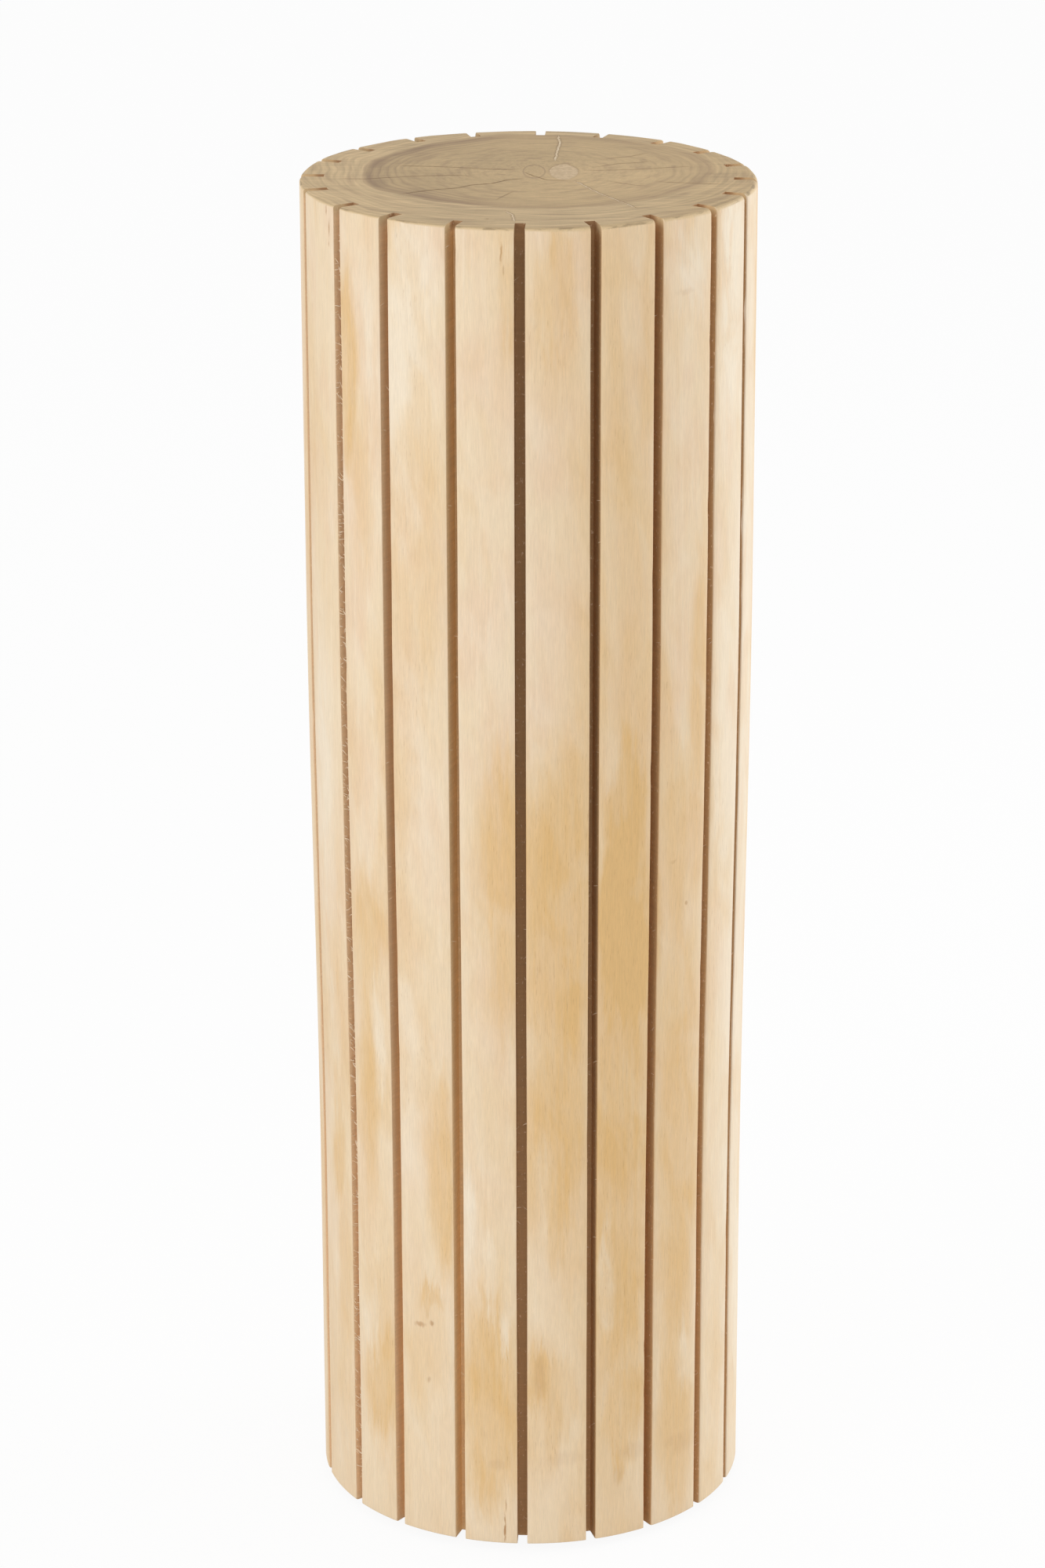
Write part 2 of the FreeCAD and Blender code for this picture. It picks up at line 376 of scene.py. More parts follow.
# Tones of the wood
WHITE_WOOD = colour(243, 228, 204)
CREAM_WOOD = colour(238, 216, 183)
ROSY_WOOD = colour(236, 209, 177)
HONEY_WOOD = colour(225, 185, 125)
PORE_BROWN = colour(171, 125, 76)
MARK_BROWN = colour(172, 122, 68)
HEARTWOOD = colour(198, 170, 126)
HEARTWOOD_OLIVE = colour(190, 163, 121)
SAPWOOD = colour(199, 173, 132)
RING_BROWN = colour(150, 122, 94)
CHECK_SHADE_BROWN = colour(126, 98, 69)
# Painted shade along the checks in the end grain
SOIL = colour(150, 128, 97)
# Sawn groove tones: brown sawn wood, in lit copies for the left and a shaded copy for the right, as painted
# light and shade
SHADED_SAWN_BROWN = colour(177, 140, 98)
LIT_SAWN_PALE_BROWN = colour(216, 190, 149)
LIT_SAWN_ROSY_BROWN = colour(221, 188, 148)
RIM_HONEY = colour(228, 200, 154)
PUTTY = colour(212, 186, 149)
PUTTY_SHADE = colour(198, 172, 136)
PUTTY_PALE = colour(223, 203, 171)
# Painted shade in the notch where a groove ends at the top
NOTCH_SHADE_BROWN = colour(146, 110, 76)
FELT_BROWN = colour(120, 108, 97)
FELT_FIBRE = colour(158, 147, 135)
NYLON_BROWN = colour(104, 87, 74)
NYLON_SHEEN = colour(122, 104, 90)
STEEL = colour(196, 196, 194)
STEEL_DULL = colour(158, 157, 154)

# Figure of the turned sides, as patches: angle round the trunk, height above the foot, half width,
# half height and strength. Two broad bands among them are painted: a honey band of painted shade and a white
# band of painted light
HONEY_FIGURE_AND_SHADE = (
    (8.0, 390.0, 36.0, 165.0, 0.95),
    (7.0, 270.0, 28.0, 120.0, 0.9),
    (2.0, 112.0, 11.0, 40.0, 0.9),
    (8.0, 100.0, 18.0, 50.0, 0.5),
    (25.0, 390.0, 34.0, 130.0, 1.15),
    (25.0, 240.0, 34.0, 240.0, 0.9),
    (25.0, 452.0, 26.0, 75.0, 1.1),
    (26.0, 85.0, 24.0, 60.0, 0.85),
    (43.0, 430.0, 28.0, 100.0, 0.55),
    (43.0, 250.0, 28.0, 230.0, 0.75),
    (48.0, 530.0, 12.0, 130.0, 0.6),
    (43.0, 60.0, 26.0, 90.0, 0.6),
    (-6.0, 440.0, 30.0, 90.0, 0.75),
    (-6.0, 380.0, 16.0, 90.0, 0.6),
    (-10.0, 95.0, 30.0, 105.0, 0.9),
    (-48.0, 290.0, 14.0, 110.0, 0.75),
    (-44.0, 86.0, 24.0, 55.0, 0.8),
    (-47.0, 370.0, 20.0, 70.0, 0.6),
    (-64.0, 222.0, 14.0, 42.0, 0.65),
    (-60.0, 150.0, 14.0, 90.0, 0.45),
    (-24.0, 232.0, 16.0, 85.0, 0.7),
    (-29.0, 120.0, 22.0, 60.0, 0.4),
    (-28.0, 152.0, 13.0, 18.0, 0.7),
    (-26.0, 600.0, 18.0, 90.0, 0.3),
    (7.0, 764.0, 20.0, 56.0, 0.62),
    (27.0, 690.0, 20.0, 130.0, 0.4),
    (-51.0, 710.0, 11.0, 90.0, 0.8),
    (-46.0, 640.0, 14.0, 80.0, 0.4),
    (-5.0, 765.0, 10.0, 40.0, 0.5),
    # Painted shade: a broad honey band the whole height down the right of the front, where the lamps reach
    # least
    (22.0, 420.0, 56.0, 700.0, 0.45),
)
WHITE_FIGURE_AND_LIGHT = (
    (-16.0, 205.0, 9.0, 50.0, 0.85),
    (-11.0, 172.0, 8.0, 42.0, 0.8),
    (-6.0, 146.0, 7.0, 30.0, 0.65),
    (-33.0, 720.0, 24.0, 130.0, 0.75),
    (-29.0, 480.0, 20.0, 120.0, 0.4),
    (-34.0, 300.0, 18.0, 140.0, 0.5),
    (-68.0, 470.0, 26.0, 130.0, 0.75),
    (-66.0, 302.0, 15.0, 55.0, 0.6),
    (-43.0, 315.0, 11.0, 55.0, 0.65),
    (-48.0, 122.0, 12.0, 32.0, 0.5),
    (-43.0, 725.0, 9.0, 70.0, 0.6),
    (4.0, 220.0, 10.0, 60.0, 0.35),
    (20.5, 172.0, 9.0, 55.0, 0.55),
    (46.0, 100.0, 12.0, 40.0, 0.5),
    # Painted light: a broad white band the whole height down the right edge, where the light grazes it
    (72.0, 400.0, 40.0, 900.0, 0.75),
    (61.0, 730.0, 26.0, 130.0, 0.9),
    (61.0, 778.0, 28.0, 60.0, 1.0),
    (-30.0, 778.0, 24.0, 50.0, 0.9),
    (61.0, 480.0, 26.0, 240.0, 0.62),
    (43.0, 768.0, 24.0, 36.0, 0.7),
    (80.0, 150.0, 34.0, 170.0, 0.85),
)
# Small brown marks on the turned sides: pin knots, flecks, smears and a crack at the foot
BROWN_MARKS = (
    (-30.9, 136.0, 5.5, 2.6, 0.5),
    (-27.3, 138.8, 2.2, 2.6, 0.6),
    (-28.4, 101.5, 1.6, 3.0, 0.35),
    (-6.7, 786.0, 0.8, 7.0, 0.6),
    (-6.2, 776.0, 0.8, 4.0, 0.4),
    (-60.0, 796.0, 0.9, 4.0, 0.6),
    (-58.6, 786.0, 0.9, 7.0, 0.7),
    (-58.9, 778.0, 0.7, 3.0, 0.6),
    (-55.7, 172.0, 2.0, 9.0, 0.55),
    (39.7, 423.0, 3.0, 2.0, 0.2),
    (44.4, 395.0, 1.6, 1.9, 0.45),
    (45.8, 48.0, 14.0, 10.0, 0.14),
    (42.0, 52.0, 10.0, 6.0, 0.12),
    (29.0, 54.0, 15.0, 8.0, 0.12),
    (24.0, 40.0, 6.0, 9.0, 0.15),
    (41.7, 757.0, 9.0, 2.5, 0.13),
    (9.0, 56.0, 16.0, 7.0, 0.1),
    (-9.0, 52.0, 8.0, 5.0, 0.14),
    (-7.0, 10.0, 0.9, 14.0, 0.85),
    (-6.6, 25.0, 0.7, 7.0, 0.5),
    (2.4, 109.0, 5.0, 20.0, 0.2),
)
# Heights between which the rosy tone comes in
ROSY_LIMITS = (60.0, 420.0)

# Painted light and shade of the sawn grooves from the left of the trunk to its right, for how the lamps
# reach into each: share of the way and level
PAINTED_GROOVE_LIGHT = (
    (0.0, 0.77),
    (0.2, 0.65),
    (0.33, 0.79),
    (0.48, 0.69),
    (0.65, 0.71),
    (0.78, 0.88),
    (0.9, 0.9),
    (1.0, 0.82),
)
FULL_PAINTED_GROOVE_LIGHT = 1.43
# Places from left to right between which the grooves turn from rosy to pale and from pale to brown, as
# painted light on the left and painted shade on the right
ROSY_GROOVE_LIMITS = (-78.0, -50.0)
PALE_GROOVE_LIMITS = (-70.0, 5.0)
# Heights between which the grooves get lighter towards the foot
LIGHT_GROOVE_LIMITS = (430.0, 100.0)


def polar(radius, angle):
    """Point in plan at an angle round the trunk."""
    turn = np.radians(angle)
    return np.stack([radius * np.sin(turn), -radius * np.cos(turn)], -1)


def ring_distance(finish, place):
    """Distance from the pith, bent by slow noise as growth is."""
    x, y = finish.split(place)[:2]
    across = x - PITH_X
    back = y - PITH_Y
    bend = finish.noise(finish.stretched(place, 75.0, 380.0)) - 0.5
    return (across * across + back * back) ** 0.5 + bend * RING_BEND


def patches_amount(finish, place, patches, edge, core):
    """Strongest of several soft patches, which fade from a core to an edge at shares of their size."""
    amount = None
    for angle, height, half_width, half_height, strength in patches:
        x, y = polar(trunk_radius(FOOT_Z + height), angle)
        sizes = (half_width, half_width, half_height)
        centre = (x, y, FOOT_Z + height)
        factors = tuple(1 / size for size in sizes)
        offset = tuple(-along / size for along, size in zip(centre, sizes))
        settings = {"operation": "MULTIPLY_ADD"}
        away = finish.node("ShaderNodeVectorMath", settings, {0: place, 1: factors, 2: offset})
        length = finish.node("ShaderNodeVectorMath", {"operation": "LENGTH"}, {0: away}, "Value")
        patch = finish.step(length, edge, core, 0.0, strength)
        amount = patch if amount is None else finish.math("MAXIMUM", amount, patch)
    return amount


def wandering(finish, place, across, along, sway, lift):
    """Place moved about by noise, so that a patch gets a ragged flame's edge."""
    source = finish.noise(finish.stretched(place, across, along), 4.0).output("Color")
    shift = {0: source, 1: (2 * sway, 2 * sway, 2 * lift), 2: (-sway, -sway, -lift)}
    moved = finish.node("ShaderNodeVectorMath", {"operation": "MULTIPLY_ADD"}, shift)
    return finish.node("ShaderNodeVectorMath", {"operation": "ADD"}, {0: place, 1: moved})


def slanted(finish, place):
    """Place on a grain that leans to the left on its way up the front."""
    x, y, z = finish.split(place)
    return finish.node("ShaderNodeCombineXYZ", {}, {0: x + z * GRAIN_SLANT, 1: y, 2: z})


def turned_side_wood():
    """Long grain of the turned sides: cream wood with honey flames, fine fibres and pores, and broad bands
    of painted shade and painted light.
    """
    finish = new_finish("turned_side_wood")
    place = finish.place()
    ring = finish.math("FRACT", ring_distance(finish, place) / RING_WIDTH)
    early = finish.ramp(ring, ((0.0, 0.9), (0.22, 1.0), (0.6, 0.2), (0.88, 0.0), (1.0, 0.9)))
    clear = finish.step(finish.noise(finish.stretched(place, 55.0, 260.0)), 0.4, 0.64)
    warm = finish.noise(finish.stretched(place, 26.0, 62.0), 4.0)
    streak = finish.noise(finish.stretched(place, 3.2, 75.0), 3.0)
    marble = finish.noise(finish.stretched(slanted(finish, place), 20.0, 58.0), 3.0, 0.5, 0.7)
    fibre = finish.noise(finish.stretched(place, 0.9, 12.0), 3.0, 0.6)
    hair = finish.noise(finish.stretched(place, 0.5, 6.0), 2.0, 0.6)
    billow = wandering(finish, place, 18.0, 60.0, 8.0, 30.0)
    flame = wandering(finish, billow, 2.4, 45.0, 0.0, 24.0)
    # The honey and white amounts hold the wood's figure and also the broad bands of painted shade and
    # painted light
    honey = patches_amount(finish, flame, HONEY_FIGURE_AND_SHADE, 0.95, 0.32)
    honey = honey * finish.step(marble, 0.36, 0.62, 0.78, 1.05) * finish.step(streak, 0.3, 0.7, 0.84, 1.1)
    white = patches_amount(finish, flame, WHITE_FIGURE_AND_LIGHT, 0.92, 0.2)
    white = white * finish.step(marble, 0.64, 0.4, 0.55, 1.1)
    ragged = wandering(finish, place, 2.5, 6.0, 1.2, 2.4)
    marks = patches_amount(finish, ragged, BROWN_MARKS, 1.0, 0.25)
    height = finish.split(place)[2]
    rosy = finish.step(warm, 0.36, 0.66) * finish.step(height, *ROSY_LIMITS, 0.3, 1.0)
    wood = finish.mix(rosy, CREAM_WOOD, ROSY_WOOD)
    wood = finish.mix(finish.step(streak, 0.5, 0.8, 0.0, 0.32), wood, WHITE_WOOD)
    wood = finish.mix(early * clear * 0.42, wood, HONEY_WOOD)
    wood = finish.mix(finish.step(marble, 0.5, 0.72, 0.0, 0.2), wood, HONEY_WOOD)
    wood = finish.mix(finish.step(marble, 0.48, 0.3, 0.0, 0.24), wood, WHITE_WOOD)
    wood = finish.mix(honey, wood, HONEY_WOOD)
    wood = finish.mix(white, wood, WHITE_WOOD)
    dash = finish.noise(finish.stretched(place, 0.6, 7.0), 1.0)
    porous = finish.math("MAXIMUM", early * clear, honey)
    pores = finish.step(dash, 0.64, 0.75) * finish.step(porous, 0.2, 0.8, 0.05, 0.6)
    wood = finish.mix(pores * 0.4, wood, PORE_BROWN)
    wood = finish.mix(marks, wood, MARK_BROWN)
    upturned = finish.split(finish.facing())[2]
    rim = finish.step(upturned, 0.15, 0.9)
    wood = finish.mix(rim, wood, SAPWOOD)
    wood = finish.mix(rim * (1 - rim) * 2.4, wood, RIM_HONEY)
    soiled = finish.noise(finish.stretched(place, 14.0, 3.0), 4.0)
    soil = finish.step(rim, 0.05, 0.5) * finish.step(soiled, 0.52, 0.66, 0.0, 0.7)
    wood = finish.mix(soil, wood, SOIL)
    shade = 0.77 + streak * 0.06 + fibre * 0.22 + hair * 0.18
    return finish.surface(
        {
            "Base Color": finish.tint(wood, shade),
            "Roughness": 0.62 + fibre * 0.16,
            "Normal": finish.bump(fibre + pores * -0.6, 0.06),
        }
    )


def ring_streaks(finish, x, y, distance, spokes, ring_step):
    """Noise drawn out along the growth rings, or along the rays where spokes is large."""
    across = (x - PITH_X) / distance * spokes
    back = (y - PITH_Y) / distance * spokes
    spot = finish.node("ShaderNodeCombineXYZ", {}, {0: across, 1: back, 2: distance / ring_step})
    return finish.noise(spot, 2.0)


def end_grain_wood():
    """Sawn and sanded end grain: rings round the pith, brown heartwood edge, rays and checks."""
    finish = new_finish("end_grain_wood")
    place = finish.place()
    x, y = finish.split(place)[:2]
    distance = ring_distance(finish, place)
    uneven = finish.noise(finish.stretched(place, 30.0, 400.0), 3.0)
    cloud = finish.noise(finish.stretched(place, 70.0, 400.0), 2.0)
    short_rings = ring_streaks(finish, x, y, distance, 10.0, 2.2)
    long_rings = ring_streaks(finish, x, y, distance, 3.6, 2.5)
    broad_rings = ring_streaks(finish, x, y, distance, 3.0, 5.0)
    rays = ring_streaks(finish, x, y, distance, 46.0, 48.0)
    grit = finish.noise(finish.stretched(place, 0.8, 400.0), 2.0, 0.6)
    saw_lines = finish.noise(finish.node("ShaderNodeCombineXYZ", {}, {0: x / 45.0, 1: y / 2.6}), 3.0)
    ring = finish.math("FRACT", distance / END_RING_WIDTH)
    line = finish.ramp(ring, ((0.0, 0.7), (0.2, 0.3), (0.5, 0.0), (0.85, 0.2), (1.0, 0.7)))
    sap = finish.step(distance + uneven * 5.0, HEARTWOOD_RADIUS, HEARTWOOD_RADIUS + 5.0)
    inner = finish.step(distance, HEARTWOOD_RADIUS - 32.0, HEARTWOOD_RADIUS - 8.0)
    fine_rings = short_rings * (1 - inner) + long_rings * inner
    band = finish.step(distance, HEARTWOOD_RADIUS - 12.0, HEARTWOOD_RADIUS - 2.0) * (1 - sap)
    leftward = finish.step(x, 30.0, -70.0, 0.5, 1.0)
    wood = finish.mix(finish.step(cloud, 0.35, 0.65), HEARTWOOD, HEARTWOOD_OLIVE)
    wood = finish.mix(sap * finish.step(x, 110.0, 40.0, 0.3, 1.0), wood, SAPWOOD)
    wood = finish.mix(finish.step(broad_rings, 0.45, 0.75, 0.0, 0.4), wood, RING_BROWN)
    wood = finish.mix(line * inner * (1 - sap * 0.7) * leftward * 0.85, wood, RING_BROWN)
    wood = finish.mix(band * leftward * finish.step(uneven, 0.35, 0.6, 0.3, 0.8), wood, RING_BROWN)
    pith = ellipse_edge(finish, x, y)
    wood = finish.mix(pith * 0.5, wood, RING_BROWN)
    wood = finish.mix(heart_edge(finish, x, y) * 0.2, wood, RING_BROWN)
    # Painted shade: the end grain darkened along its checks, standing in for the shade inside them
    wood = finish.mix(finish.attribute("check_stain") * 0.38, wood, CHECK_SHADE_BROWN)
    lines = (fine_rings * 0.36 + saw_lines * 0.3 - 0.33) * (1 + sap * 0.8)
    left_sap = sap * finish.step(x, -60.0, -100.0, 0.0, 0.08)
    left_heartwood = (1 - sap) * finish.step(x, 0.0, -90.0, 0.0, 0.1)
    spots = soft_spot(finish, x, y, PALE_SPOT) * 0.1 - soft_spot(finish, x, y, DARK_SPOT) * 0.1
    shade = 0.84 + lines + rays * 0.1 + grit * 0.22 + left_sap - left_heartwood + spots
    return finish.surface(
        {
            "Base Color": finish.tint(wood, shade),
            "Roughness": 0.66 + grit * 0.14,
            "Normal": finish.bump(grit + rays * 0.5 + fine_rings * 0.5, 0.08),
        }
    )


def soft_spot(finish, x, y, spot):
    """Round spot in the end grain, 1 near its middle."""
    middle_x, middle_y, radius = spot
    across = (x - middle_x) / radius
    back = (y - middle_y) / radius
    return finish.step((across * across + back * back) ** 0.5, 1.0, 0.2)


def ellipse_edge(finish, x, y):
    """Thin brown line round the soft pith."""
    across = (x - PITH_OVAL_X) / PITH_OVAL_HALF_WIDTH
    back = (y - PITH_OVAL_Y) / PITH_OVAL_HALF_LENGTH
    reach = (across * across + back * back) ** 0.5
    return finish.step(reach, 0.86, 0.97) * finish.step(reach, 1.1, 1.0)


def heart_edge(finish, x, y):
    """Thin brown line round the heart's filler."""
    along = (y - HEART_MIDDLE[1]) / HEART_HALF_LENGTH
    width = HEART_HALF_WIDTH - along * along * (HEART_HALF_WIDTH - HEART_END_HALF_WIDTH)
    across = finish.math("ABSOLUTE", x - HEART_MIDDLE[0]) / width
    blunt = HEART_BLUNTNESS
    reach = (across**blunt + finish.math("ABSOLUTE", along) ** blunt) ** (1 / blunt)
    return finish.step(reach, 0.94, 0.99) * finish.step(reach, 1.2, 1.04)


def sawn_groove_wood():
    """Walls and floors of the grooves: brown sawn wood ribbed by the cutter, with painted light and shade
    that make them paler to the left, browner to the right, lighter deeper in and darker in the notch at the
    top.
    """
    finish = new_finish("sawn_groove_wood")
    place = finish.place()
    x, y, height = finish.split(place)
    radius = (x * x + y * y) ** 0.5
    mouth = finish.step(height, SWELL_START_Z, SWELL_END_Z, FOOT_RADIUS, TOP_RADIUS)
    sunk = mouth - radius
    lip = finish.step(height, TOP_Z - 7.0, TOP_Z - 1.5)
    # Painted light and shade, by place from left to right
    painted_light = finish.ramp(x / (2 * TOP_RADIUS) + 0.5, PAINTED_GROOVE_LIGHT) * FULL_PAINTED_GROOVE_LIGHT
    ribs = finish.noise(finish.stretched(place, 30.0, 1.4), 2.0)
    fibre = finish.noise(finish.stretched(place, 1.2, 30.0), 2.0)
    fuzz = finish.noise(finish.stretched(place, 1.3, 2.6), 2.0, 0.6)
    # The turn from rosy and pale on the left to brown on the right is painted light and shade
    sawn = finish.mix(finish.step(x, *ROSY_GROOVE_LIMITS), LIT_SAWN_ROSY_BROWN, LIT_SAWN_PALE_BROWN)
    sawn = finish.mix(finish.step(x, *PALE_GROOVE_LIMITS), sawn, SHADED_SAWN_BROWN)
    wood = finish.mix(finish.step(sunk, 0.1, 0.7), ROSY_WOOD, sawn)
    # Near the top the mouth takes the sapwood tone and the deeper notch takes painted shade
    wood = finish.mix(lip * 0.85, wood, finish.mix(finish.step(sunk, 6.0, 11.0), SAPWOOD, NOTCH_SHADE_BROWN))
    wood = finish.mix(finish.step(fuzz, 0.62, 0.72, 0.0, 0.45), wood, CREAM_WOOD)
    shade = (0.8 + ribs * 0.24 + fibre * 0.14) * painted_light
    # Painted light: lighter deeper in the groove, against its own shadow
    shade = shade * finish.step(sunk, 3.0, 12.0, 1.0, 1.25)
    shade = shade * finish.step(height, *LIGHT_GROOVE_LIMITS, 1.0, 1.12)
    return finish.surface(
        {
            "Base Color": finish.tint(wood, shade),
            "Roughness": 0.75 + ribs * 0.15,
            "Normal": finish.bump(ribs + fuzz, 0.1),
        }
    )


def torn_fibre():
    """Pale torn fibres."""
    finish = new_finish("torn_fibre")
    place = finish.place()
    tone = finish.noise(finish.stretched(place, 4.0, 4.0), 2.0)
    return finish.surface(
        {
            "Base Color": finish.mix(finish.step(tone, 0.4, 0.6), WHITE_WOOD, CREAM_WOOD),
            "Roughness": 0.7 + tone * 0.2,
        }
    )


def putty(name, tone, shade_tone):
    """Pale wood putty, sanded flush, with fine grit."""
    finish = new_finish(name)
    place = finish.place()
    cloud = finish.noise(finish.stretched(place, 2.6, 2.6), 3.0)
    grit = finish.noise(finish.stretched(place, 0.6, 0.6), 2.0, 0.6)
    paste = finish.mix(finish.step(cloud, 0.4, 0.6), tone, shade_tone)
    return finish.surface(
        {
            "Base Color": finish.tint(paste, 0.93 + grit * 0.12),
            "Roughness": 0.7 + grit * 0.15,
            "Normal": finish.bump(grit, 0.06),
        }
    )


def wool_felt():
    """Pressed wool felt with loose fibres."""
    finish = new_finish("wool_felt")
    place = finish.place()
    clump = finish.noise(finish.stretched(place, 1.6, 1.6), 3.0)
    fibre = finish.noise(finish.stretched(place, 0.25, 0.25), 3.0, 0.7)
    wool = finish.mix(finish.step(clump * 0.5 + fibre * 0.5, 0.35, 0.7), FELT_BROWN, FELT_FIBRE)
    return finish.surface(
        {
            "Base Color": wool,
            "Roughness": 0.9 + fibre * 0.1,
            "Sheen Weight": 0.4,
            "Normal": finish.bump(fibre + clump, 0.15),
        }
    )


def moulded_nylon():
    """Brown moulded nylon with a fine matt texture."""
    finish = new_finish("moulded_nylon")
    place = finish.place()
    cloud = finish.noise(finish.stretched(place, 5.0, 5.0), 2.0)
    texture = finish.noise(finish.stretched(place, 0.4, 0.4), 2.0)
    return finish.surface(
        {
            "Base Color": finish.mix(cloud, NYLON_BROWN, NYLON_SHEEN),
            "Roughness": 0.42 + texture * 0.16,
            "Normal": finish.bump(texture, 0.03),
        }
    )


def drawn_steel():
    """Bright drawn wire, drawn lengthwise, with dull spots."""
    finish = new_finish("drawn_steel")
    place = finish.place()
    lines = finish.noise(finish.stretched(place, 0.15, 8.0), 2.0)
    dull = finish.noise(finish.stretched(place, 1.5, 1.5), 3.0)
    return finish.surface(
        {
            "Base Color": finish.mix(finish.step(dull, 0.4, 0.7), STEEL, STEEL_DULL),
            "Metallic": 1.0,
            "Roughness": 0.28 + lines * 0.2,
            "Normal": finish.bump(lines, 0.01),
        }
    )


# Meshes


def new_piece(name, points, faces, materials, face_materials=None):
    """Object from points in millimetres, with smooth faces that break at sharp edges."""
    mesh = bpy.data.meshes.new(name)
    mesh.from_pydata((np.asarray(points) * MM).tolist(), [], faces)
    for material in materials:
        mesh.materials.append(material)
    if face_materials is not None:
        mesh.polygons.foreach_set("material_index", np.asarray(face_materials, np.int32))
    mesh.shade_smooth()
    mesh.set_sharp_from_angle(angle=math.radians(SHARP_ANGLE))
    piece = bpy.data.objects.new(name, mesh)
    bpy.context.scene.collection.objects.link(piece)
    return piece


def wander(places, knot_step, seed):
    """Smooth random values between -1 and 1 along a line of places."""
    low = float(np.min(places))
    count = int((float(np.max(places)) - low) / knot_step) + 4
    knots = np.random.default_rng(seed).uniform(-1, 1, count)
    where = (np.asarray(places) - low) / knot_step
    start = where.astype(int)
    share = where - start
    share = share * share * (3 - 2 * share)
    return knots[start] * (1 - share) + knots[start + 1] * share


def trunk_radius(z):
    """Radius of the turned trunk at a height, with the slow swell between its straight ends."""
    rise = np.clip((z - SWELL_START_Z) / (SWELL_END_Z - SWELL_START_Z), 0, 1)
    return FOOT_RADIUS + (TOP_RADIUS - FOOT_RADIUS) * rise * rise * (3 - 2 * rise)


def floor_radius(z):
    """Distance of the groove floors from the axis at a height."""
    share = (z - FOOT_Z) / (TOP_Z - FOOT_Z)
    return FOOT_FLOOR_RADIUS + (TOP_FLOOR_RADIUS - FOOT_FLOOR_RADIUS) * share


def groove_angles():
    """Angles of the middles of the grooves, pair by pair."""
    step = 360.0 / GROOVE_PAIRS - INDEX_SHORTFALL_ANGLE
    angles = []
    for pair in range(GROOVE_PAIRS):
        middle = FIRST_PAIR_ANGLE + pair * step
        angles.append(middle - PAIR_SPREAD_ANGLE / 2)
        angles.append(middle + PAIR_SPREAD_ANGLE / 2)
    return angles


def rim_radius(angle):
    """Radius of the rounded top rim: rounder to the right than to the left."""
    turn = np.radians(angle)
    share = 0.5 + 0.5 * np.sin(turn)
    ripple = np.sin(RIM_BROAD_WAVES * turn + RIM_WAVE_START_RADIANS) * np.sin(RIM_SHORT_WAVES * turn)
    uneven = ripple + RIM_WANDER_SHARE * wander(turn * TOP_RADIUS, RIM_WANDER_STEP, RIM_SEED)
    return RIM_RADIUS_LEFT + (RIM_RADIUS_RIGHT - RIM_RADIUS_LEFT) * share + RIM_UNEVENNESS * uneven


def arris_radius(side):
    """Radius of a groove's eased edge on its left side, -1, or on its right side, 1."""
    return RIGHT_ARRIS_RADIUS if side > 0 else LEFT_ARRIS_RADIUS


def edge_radii(heights, side, seed):
    """Radius of one eased arris along its length, with a few chips out of it."""
    rng = np.random.default_rng(seed)
    radii = arris_radius(side) + ARRIS_UNEVENNESS * wander(heights, ARRIS_WANDER_STEP, seed + 1)
    for _ in range(rng.poisson(CHIP_COUNT / (4 * GROOVE_PAIRS))):
        centre = rng.uniform(FOOT_Z, TOP_Z)
        length = CHIP_LENGTH * rng.uniform(*CHIP_LENGTH_SHARES)
        depth = CHIP_DEPTH * rng.uniform(*CHIP_DEPTH_SHARES)
        radii = radii + depth * np.exp(-(((heights - centre) / length) ** 2))
    return radii


def in_groove(angle, out, aside):
    """Points in plan from their distance out along a groove and aside from its middle."""
    turn = math.radians(angle)
    outward = np.array([math.sin(turn), -math.cos(turn)])
    sideways = np.array([math.cos(turn), math.sin(turn)])
    return np.multiply.outer(out, outward) + np.multiply.outer(aside, sideways)


def trunk_columns(heights):
    """Outline of the trunk at each height, as a list of columns of points in plan.

    Each column also says whether it belongs to the turned face or to a sawn groove.
    """
    angles = groove_angles()
    radius = trunk_radius(heights)
    floor = floor_radius(heights)
    columns = []
    turned = []

    def add(points, is_turned):
        columns.append(points)
        turned.append(is_turned)

    def half_width(index, side):
        seed = SAW_SEED + 2 * index + (side > 0)
        return GROOVE_WIDTH / 2 + SAW_WANDER * wander(heights, SAW_WANDER_STEP, seed)

    def arris(index, side, share):
        eased = edge_radii(heights, side, ARRIS_SEED + 10 * index + (side > 0))
        half = half_width(index, side)
        face_out = np.sqrt(radius**2 - (half + eased) ** 2)
        swing = share * math.pi / 2
        out = face_out - eased + eased * math.sin(swing)
        aside = half + eased - eased * math.cos(swing)
        return in_groove(angles[index], out, side * aside)

    def wall(index, side, share):
        mouth = np.sqrt(radius**2 - (GROOVE_WIDTH / 2) ** 2) - arris_radius(side)
        out = floor + (mouth - floor) * share
        return in_groove(angles[index], out, side * half_width(index, side))

    for index, angle in enumerate(angles):
        following = (index + 1) % len(angles)
        for side in (-1, 0, 1):
            aside = side * half_width(index, side) if side else np.zeros_like(floor)
            add(in_groove(angle, floor, aside), False)
        for share in (1 / 3, 2 / 3):
            add(wall(index, 1, share), False)
        for share in (0.0, 0.5, 1.0):
            add(arris(index, 1, share), True)
        start = arris(index, 1, 1.0)
        end = arris(following, -1, 1.0)
        first = np.arctan2(start[:, 0], -start[:, 1])
        last = np.arctan2(end[:, 0], -end[:, 1])
        span = np.mod(last - first, 2 * math.pi)
        for step in range(1, FACE_STEPS):
            add(polar(radius, np.degrees(first + span * step / FACE_STEPS)), True)
        for share in (1.0, 0.5, 0.0):
            add(arris(following, -1, share), True)
        for share in (2 / 3, 1 / 3):
            add(wall(following, -1, share), False)
    return columns, turned


